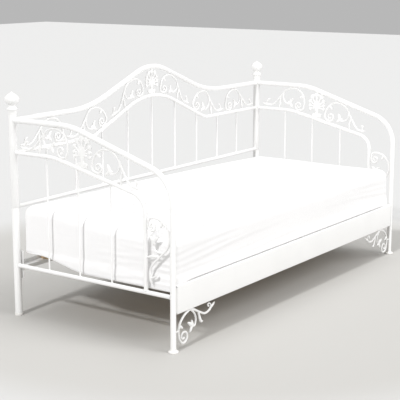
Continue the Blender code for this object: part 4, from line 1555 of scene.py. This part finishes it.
@dataclass
class Deck:
    """Slats screwed across two bearers."""

    slat_count: int = 14
    slat_width: float = 0.060
    slat_thick: float = 0.0090
    bearer_width: float = 0.055
    edge: float = 0.0018

    def build(self) -> None:
        """Make the slats and the bearers, which fill the deck's own space."""
        low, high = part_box("slat_deck")
        seat = high.z - self.slat_thick
        pitch = (high.x - low.x - self.slat_width) / (self.slat_count - 1)
        slats = [soft_box((low.x + number * pitch, low.y, seat),
                          (low.x + number * pitch + self.slat_width, high.y, high.z), self.edge)
                 for number in range(self.slat_count)]
        add_piece("deck_slats", merged(slats).mesh("deck_slats"), PLY, nodes=["slat_deck"])
        bearers = [soft_box((low.x, start, low.z), (high.x, start + self.bearer_width, seat - 0.0002),
                            self.edge)
                   for start in (low.y, high.y - self.bearer_width)]
        add_piece("deck_bearers", merged(bearers).mesh("deck_bearers"), PLY, nodes=["slat_deck"])


# ---------------------------------------------------------------- mattress


@dataclass(frozen=True)
class Fold:
    """Long soft fold of the sheet that fans out from one corner of the mattress."""

    height: float
    slope: float
    reach: float
    depth: float
    width: float


@dataclass
class Mattress:
    """Sprung mattress in striped ticking with a white fitted sheet drawn over it."""

    grid: float = 0.0155
    wall_step: float = 0.0085
    front_corner: float = 0.028
    rear_corner: float = 0.015
    sag: float = 0.012
    lift: float = 0.036
    lift_span: Pair = (0.04, 0.34)
    lift_reach: float = 0.15
    crown: float = 0.033
    top_edge: float = 0.040
    low_edge: float = 0.012
    tuck: float = 0.070
    behind_board: float = 0.0237
    unevenness: float = 0.0009
    wall_unevenness: float = 0.0008
    cloth_thick: float = 0.0011
    start_inset: float = 0.0018
    cap: float = 0.0060
    pressure: float = 4.0
    sim_frames: int = 20
    crease_from: float = 0.02
    crease_top: float = 0.43
    crease_pitch: float = 0.030
    crease_depth: float = 0.0011
    folds: tuple[Fold, ...] = (
        Fold(0.306, 0.030, 0.95, 0.0028, 0.0090),
        Fold(0.335, 0.020, 0.55, 0.0022, 0.0075),
        Fold(0.362, 0.055, 0.60, 0.0028, 0.0080),
        Fold(0.390, 0.045, 0.42, 0.0022, 0.0070),
        Fold(0.415, 0.080, 0.52, 0.0026, 0.0080),
        Fold(0.440, 0.060, 0.38, 0.0020, 0.0075),
    )

    def __post_init__(self) -> None:
        """Take the sizes off the model."""
        sheet_low, sheet_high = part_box("fitted_sheet")
        pad_low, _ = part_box("mattress")
        board_low, board_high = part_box("front_rail")
        self.half = sheet_high.x
        self.back, self.front = sheet_high.y, sheet_low.y
        self.base = pad_low.z + 0.0004
        self.top = sheet_high.z
        self.tucked = board_low.y + self.behind_board
        self.board_top = board_high.z
        self.deck_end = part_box("slat_deck")[1].x

    def front_wall(self, z: np.ndarray) -> np.ndarray:
        """Where the front wall is at a height: tucked behind the board, then bulging out over it.

        Args:
            z: The heights.

        Returns:
            The wall's depth at each.
        """
        share = np.clip((z - self.board_top - 0.0003) / 0.0055, 0, 1)
        share = share * (2 - share)
        bulge = 0.0040 * np.exp(-(((z - self.board_top - 0.018) / 0.026) ** 2))
        return self.tucked + (self.front + 0.0030 - self.tucked) * share - bulge * share

    def shell(self) -> tuple[np.ndarray, list[tuple[int, ...]], int]:
        """The mattress as a closed skin of small squares.

        Returns:
            Its points, its faces, and how many of the faces, at the end, are its underside's.
        """
        deep = (self.back - self.front) / 2
        columns = 2 * round(self.half / self.grid)
        rows = 2 * round(deep / self.grid)
        walls = round((self.top - self.base - self.top_edge - self.low_edge) / self.wall_step)
        arc = [math.pi / 2 * step / 6 for step in range(7)]
        levels = [(self.low_edge * (1 - math.sin(a)), self.base + self.low_edge * (1 - math.cos(a)))
                  for a in arc[:-1]]
        wall_low, wall_high = self.base + self.low_edge, self.top - self.top_edge
        heights = {wall_low + (wall_high - wall_low) * step / walls for step in range(walls + 1)}
        heights = {z for z in heights if not -0.008 < z - self.board_top < 0.014}
        heights |= {self.board_top + rise for rise in (-0.005, 0.0004, 0.0018, 0.0038, 0.0068, 0.0115)}
        levels += [(0.0, z) for z in sorted(heights)]
        levels += [(self.top_edge * (1 - math.cos(a)), wall_high + self.top_edge * math.sin(a))
                   for a in arc[1:]]
        u = np.linspace(-1, 1, columns + 1)
        v = np.linspace(-1, 1, rows + 1)
        border = [(i, 0) for i in range(columns)] + [(columns, j) for j in range(rows)] \
            + [(i, rows) for i in range(columns, 0, -1)] + [(0, j) for j in range(rows, 0, -1)]
        grid_u, grid_v = np.meshgrid(u, v, indexing="ij")
        edge_u = np.array([u[i] for i, _ in border])
        edge_v = np.array([v[j] for _, j in border])
        points, faces = [], []
        top = self.placed(grid_u.ravel(), grid_v.ravel(), *levels[-1])
        low = self.placed(grid_u.ravel(), grid_v.ravel(), *levels[0])
        points += [top, low]
        size = (columns + 1) * (rows + 1)

        def cell(i: int, j: int) -> int:
            """Number of the point in column i and row j of the top."""
            return i * (rows + 1) + j

        ring_low = [size + cell(i, j) for i, j in border]
        start = 2 * size
        rings = [ring_low]
        for inset, z in levels[1:-1]:
            points.append(self.placed(edge_u, edge_v, inset, z))
            rings.append(list(range(start, start + len(border))))
            start += len(border)
        rings.append([cell(i, j) for i, j in border])
        for lower, upper in zip(rings, rings[1:]):
            for index in range(len(border)):
                ahead = (index + 1) % len(border)
                faces.append((lower[index], lower[ahead], upper[ahead], upper[index]))
        squares = [(i, j) for i in range(columns) for j in range(rows)]
        faces += [(cell(i, j), cell(i + 1, j), cell(i + 1, j + 1), cell(i, j + 1)) for i, j in squares]
        faces += [tuple(size + cell(*at) for at in ((i, j), (i, j + 1), (i + 1, j + 1), (i + 1, j)))
                  for i, j in squares]
        return np.concatenate(points), faces, len(squares)

    def placed(self, u: np.ndarray, v: np.ndarray, inset: float, z: float) -> np.ndarray:
        """Points of a level, with round corners in plan and the front wall's shape.

        Args:
            u: Shares along the bed, from -1 to 1.
            v: Shares across it, from -1 to 1.
            inset: How far the level is drawn in from the mattress's outline.
            z: The level's height.

        Returns:
            The points.
        """
        half = self.half - self.start_inset - inset
        deep = (self.back - self.front) / 2 - self.start_inset - inset
        radius = np.maximum(np.where(v < 0, self.front_corner, self.rear_corner) - inset, 0.010)
        x, y = u * half, v * deep
        out_x = np.sign(x) * np.maximum(np.abs(x) - half + radius, 0)
        out_y = np.sign(y) * np.maximum(np.abs(y) - deep + radius, 0)
        long = np.hypot(out_x, out_y)
        wide = np.maximum(np.abs(out_x), np.abs(out_y))
        pull = np.where((out_x != 0) & (out_y != 0), wide / np.maximum(long, 1e-9), 1.0)
        x = x - out_x + out_x * pull
        y = y - out_y + out_y * pull + (self.back + self.front) / 2
        heights = np.full_like(x, z)
        lean = np.clip((-v - 0.80) / 0.20, 0, 1) ** 2
        y = y + (self.front_wall(heights) - self.front) * lean
        share = min(1.0, max(0.0, (z - self.base) / (self.top - self.base)))
        heights = heights + self.end_shift(x, y) * (1 - share) + self.top_shift(x, y) * share
        return np.stack([x, y, heights], axis=1)

    def end_shift(self, x: np.ndarray, y: np.ndarray) -> np.ndarray:
        """How far the underside sags past the deck's ends, less its rear left corner.

        The tight sheet pulls that corner up.

        Args:
            x: The points' lengths.
            y: Their depths.

        Returns:
            The shift up at each point.
        """
        past = np.clip((np.abs(x) - self.deck_end - 0.004) / (self.half - self.deck_end - 0.010), 0, 1)
        share = np.clip((y - self.lift_span[0]) / (self.lift_span[1] - self.lift_span[0]), 0, 1)
        near = np.exp(-((x + self.half) / self.lift_reach) ** 2)
        raised = (self.lift + self.sag) * share * share * (3 - 2 * share) * near
        return raised - self.sag * past * past * (3 - 2 * past)

    def top_shift(self, x: np.ndarray, y: np.ndarray) -> np.ndarray:
        """How far the top rises towards the raised corner.

        Args:
            x: The points' lengths.
            y: Their depths.

        Returns:
            The rise at each point.
        """
        deep = np.clip((y + 0.25) / 0.60, 0, 1)
        long = np.clip((0.90 - x) / 1.75, 0, 1)
        return self.crown * deep * deep * (3 - 2 * deep) * long * (2 - long)

    def swell(self, pad: bpy.types.Object) -> None:
        """Let the pad swell a little as cloth under pressure, held along its underside.

        Args:
            pad: The pad, whose mesh is changed.
        """
        mesh = pad.data
        rest = coordinates(mesh)
        held = pad.vertex_groups.new(name="held")
        low = np.where(rest[:, 2] < self.board_top + 0.012)[0]
        held.add([int(index) for index in low], 1.0, "REPLACE")
        cloth = pad.modifiers.new("swell", "CLOTH")
        cloth.settings.quality = 5
        cloth.settings.mass = 0.3
        cloth.settings.use_pressure = True
        cloth.settings.uniform_pressure_force = self.pressure
        cloth.settings.vertex_group_mass = held.name
        cloth.settings.effector_weights.gravity = 0.0
        cloth.collision_settings.use_collision = False
        scene = bpy.context.scene
        for number in range(1, self.sim_frames + 1):
            scene.frame_set(number)
        swollen = coordinates(pad.evaluated_get(bpy.context.evaluated_depsgraph_get()).to_mesh())
        pad.modifiers.remove(cloth)
        scene.frame_set(1)
        move = swollen - rest
        far = np.linalg.norm(move, axis=1, keepdims=True)
        move *= np.minimum(1.0, self.cap / np.maximum(far, 1e-9))
        set_coordinates(mesh, rest + move)
        capped = float((far > self.cap).mean()) * 100
        LOG.info("mattress swells by %.1f mm before the %.1f mm cap, which holds back %.0f %% of its points",
                 float(far.max()) * 1000, self.cap * 1000, capped)

    def wrinkle(self, points: np.ndarray, normals: np.ndarray) -> np.ndarray:
        """Lay the sheet's folds and the mattress's unevenness on the swollen pad.

        Args:
            points: The pad's points.
            normals: Their normals.

        Returns:
            The moved points.
        """
        x, y, z = points.T
        wall = np.clip(1.4 - 2.0 * np.abs(normals[:, 2]), 0, 1)
        lift = np.zeros(len(points))
        mid = (self.back + self.front) / 2
        for corner, (sx, sy, weight) in enumerate(((-1, -1, 1.0), (1, -1, 0.40), (-1, 1, 0.15), (1, 1, 0.5))):
            cx, cy = sx * self.half, self.front if sy < 0 else self.back
            on_end = np.abs(normals[:, 0]) > np.abs(normals[:, 1])
            along = np.where(on_end, -np.abs(y - cy), np.abs(x - cx))
            near = (np.sign(y - mid) == sy) | (np.abs(y - mid) < 1e-9) if sy else True
            near = near & (np.sign(x) == sx)
            for number, fold in enumerate(self.folds):
                wave = 0.0035 * np.sin(along * 9.0 + number * 1.7 + corner)
                line = fold.height + fold.slope * np.abs(along) * np.where(along < 0, 0.25, 1.0) + wave
                reach = np.where(along < 0, 0.34, fold.reach)
                fade = np.exp(-(along / reach) ** 2) * np.where(along < 0, 0.8, 1.0)
                off = (z - line) / fold.width
                lift += weight * fold.depth * fade * near * wall * (np.exp(-off ** 2)
                                                                    - 0.75 * np.exp(-(off + 1.5) ** 2))
        on_left = np.clip(-normals[:, 0], 0, 1) ** 2 * np.clip((self.crease_from - y) / 0.20, 0, 1)
        low_part = np.clip((self.crease_top - z) / 0.05, 0, 1)
        drift = 0.010 * np.sin(y * 9.0 + 0.6) + 0.004 * np.sin(y * 31.0)
        crease = np.sin((z + drift) * 2 * math.pi / self.crease_pitch)
        lift += on_left * low_part * self.crease_depth * (np.abs(crease) ** 0.7 * np.sign(crease))
        flat = np.clip(normals[:, 2], 0, 1) ** 2
        lift += flat * self.unevenness * (np.sin(x * 7.3 + 1.0) * np.sin(y * 9.1) + np.sin(x * 3.1 - y * 5.3))
        lift += wall * self.wall_unevenness * np.sin(x * 5.0 + z * 21.0 + 0.4) * np.sin(x * 11.0 - z * 13.0)
        return points + normals * lift[:, None]

    def build(self) -> None:
        """Make the swollen, wrinkled form, then the pad inside it and the sheet that covers it."""
        points, faces, underside = self.shell()
        mesh = bpy.data.meshes.new("mattress")
        mesh.from_pydata(points, [], faces)
        mesh.update()
        pad = bpy.data.objects.new("mattress_form", mesh)
        bpy.context.collection.objects.link(pad)
        self.swell(pad)
        points = coordinates(mesh)
        normals = vertex_normals(mesh)
        points = self.wrinkle(points, normals)
        points[:, 0] = np.clip(points[:, 0], -self.half, self.half)
        points[:, 1] = np.minimum(points[:, 1], self.back)
        points[:, 2] = np.clip(points[:, 2], self.base - self.sag, self.top + self.crown + 0.004)
        set_coordinates(mesh, points)
        normals = vertex_normals(mesh)
        inner = points - normals * (self.cloth_thick + 0.0004)
        bpy.data.objects.remove(pad, do_unlink=True)
        self.build_pad(inner, faces)
        self.build_sheet(points, normals, faces, underside)

    def build_pad(self, points: np.ndarray, faces: list[tuple[int, ...]]) -> None:
        """The mattress itself, in ticking.

        Args:
            points: Its points.
            faces: Its faces.
        """
        mesh = bpy.data.meshes.new("mattress")
        mesh.from_pydata(points, [], faces)
        mesh.shade_smooth()
        piece = add_piece("mattress", mesh, TICKING, Body.MATTRESS, ["mattress"])

    def build_sheet(self, points: np.ndarray, normals: np.ndarray, faces: list[tuple[int, ...]],
                    underside: int) -> None:
        """The fitted sheet: top, walls and a strip turned in under the mattress.

        Args:
            points: The outer form's points.
            normals: Their normals; not used.
            faces: The form's faces.
            underside: How many of the last faces are the underside's.
        """
        wall_faces = faces[:len(faces) - underside]
        under = []
        for face in faces[len(faces) - underside:]:
            middle = points[list(face)].mean(axis=0)
            from_edge = min(self.half - abs(middle[0]), self.back - middle[1], middle[1] - self.tucked)
            if from_edge < self.tuck:
                under.append(face)
        kept = wall_faces + under
        shape = bmesh.new()
        corners = [shape.verts.new(point) for point in points]
        for face in kept:
            shape.faces.new([corners[index] for index in face])
        bmesh.ops.delete(shape, geom=[vertex for vertex in shape.verts if not vertex.link_faces],
                         context="VERTS")
        mesh = bpy.data.meshes.new("fitted_sheet")
        shape.to_mesh(mesh)
        shape.free()
        piece = add_piece("fitted_sheet", mesh, SHEETING, Body.MATTRESS, ["fitted_sheet"])
        thick = piece.modifiers.new("cloth", "SOLIDIFY")
        thick.thickness = self.cloth_thick
        thick.offset = -1.0
        fine = piece.modifiers.new("fine", "SUBSURF")
        fine.levels = fine.render_levels = 1
        mesh.shade_smooth()
        drop = self.top - self.base + self.tuck
        flat = (self.back - self.front + 2 * drop, 2 * self.half + 2 * drop)
        flat[0] * flat[1] - 4 * drop * drop


def coordinates(mesh: bpy.types.Mesh) -> np.ndarray:
    """A mesh's points as rows.

    Args:
        mesh: The mesh.

    Returns:
        The rows.
    """
    rows = np.zeros(len(mesh.vertices) * 3, np.float32)
    mesh.vertices.foreach_get("co", rows)
    return rows.reshape(-1, 3).astype(float)


def set_coordinates(mesh: bpy.types.Mesh, rows: np.ndarray) -> None:
    """Give a mesh its points from rows."""
    mesh.vertices.foreach_set("co", rows.astype(np.float32).ravel())
    mesh.update()


def vertex_normals(mesh: bpy.types.Mesh) -> np.ndarray:
    """A mesh's normals at its points, as rows.

    Args:
        mesh: The mesh.

    Returns:
        The rows.
    """
    rows = np.zeros(len(mesh.vertices) * 3, np.float32)
    mesh.vertex_normals.foreach_get("vector", rows)
    return rows.reshape(-1, 3).astype(float)


# ---------------------------------------------------------------- studio


@dataclass
class Studio:
    """Pale floor, soft light and the camera."""

    floor_size: float = 40.0
    sky: tuple[float, float, float] = (1.0, 1.0, 1.0)
    sky_strength: float = 0.48
    lamps: tuple[tuple[str, float, float, float, float], ...] = (
        ("key", 183.5, 39.0, 1.70, 4.5),
        ("fill", -80.0, 38.0, 1.70, 35.0),
        ("top", -90.0, 86.0, 0.9, 60.0),
    )
    target: tuple[float, float, float] = (-0.174, 0.009, 0.454)
    azimuth: float = 54.53
    elevation: float = 11.83
    distance: float = 5.500
    lens: float = 100.0

    def build(self) -> None:
        """Make the floor, the lights and the camera."""
        self.build_floor()
        self.build_lights()
        self.build_camera()

    def build_floor(self) -> None:
        """Floor under the feet."""
        half = self.floor_size / 2
        mesh = bpy.data.meshes.new("floor")
        mesh.from_pydata([(-half, -half, 0), (half, -half, 0), (half, half, 0), (-half, half, 0)], [],
                         [(0, 1, 2, 3)])
        floor = bpy.data.objects.new("floor", mesh)
        bpy.context.collection.objects.link(floor)
        mesh.materials.append(FLOOR.material())

    def build_lights(self) -> None:
        """A firm key from the left end, a wide soft fill from the front and an even surround."""
        world = bpy.data.worlds.new("surround")
        world.use_nodes = True
        background = world.node_tree.nodes["Background"]
        background.inputs["Color"].default_value = (*self.sky, 1.0)
        background.inputs["Strength"].default_value = self.sky_strength
        bpy.context.scene.world = world
        for name, heading, height, strength, softness in self.lamps:
            turn, rise = math.radians(heading), math.radians(height)
            light = bpy.data.lights.new(name, "SUN")
            light.energy = strength
            light.angle = math.radians(softness)
            lamp = bpy.data.objects.new(name, light)
            towards = Vector((math.cos(turn) * math.cos(rise), math.sin(turn) * math.cos(rise),
                              math.sin(rise)))
            lamp.location = towards * self.distance
            lamp.rotation_mode = "QUATERNION"
            lamp.rotation_quaternion = (-towards).to_track_quat("-Z", "Y")
            bpy.context.collection.objects.link(lamp)

    def build_camera(self) -> None:
        """Long lens looking down a little from the front left."""
        turn, rise = math.radians(self.azimuth), math.radians(self.elevation)
        back = Vector((-math.sin(turn) * math.cos(rise), -math.cos(turn) * math.cos(rise), math.sin(rise)))
        data = bpy.data.cameras.new("camera")
        data.lens = self.lens
        camera = bpy.data.objects.new("camera", data)
        camera.location = Vector(self.target) + back * self.distance
        camera.rotation_mode = "QUATERNION"
        camera.rotation_quaternion = (-back).to_track_quat("-Z", "Y")
        bpy.context.collection.objects.link(camera)
        bpy.context.scene.camera = camera


def write_sizes() -> None:
    """Bring the view layer up to date."""
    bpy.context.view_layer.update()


def main() -> None:
    """Build the daybed and the studio round it."""
    logging.basicConfig(level=logging.INFO, format="%(name)s: %(message)s")
    bpy.context.scene.view_settings.view_transform = "Standard"
    layout = Layout.measured()
    LOG.info("layout: %s", layout)
    for side in Side:
        EndPanel(side, layout).build()
    BackPanel(layout).build()
    SideRails(layout).build()
    Deck().build()
    Mattress().build()
    Studio().build()
    write_sizes()


if __name__ == "__main__":
    main()
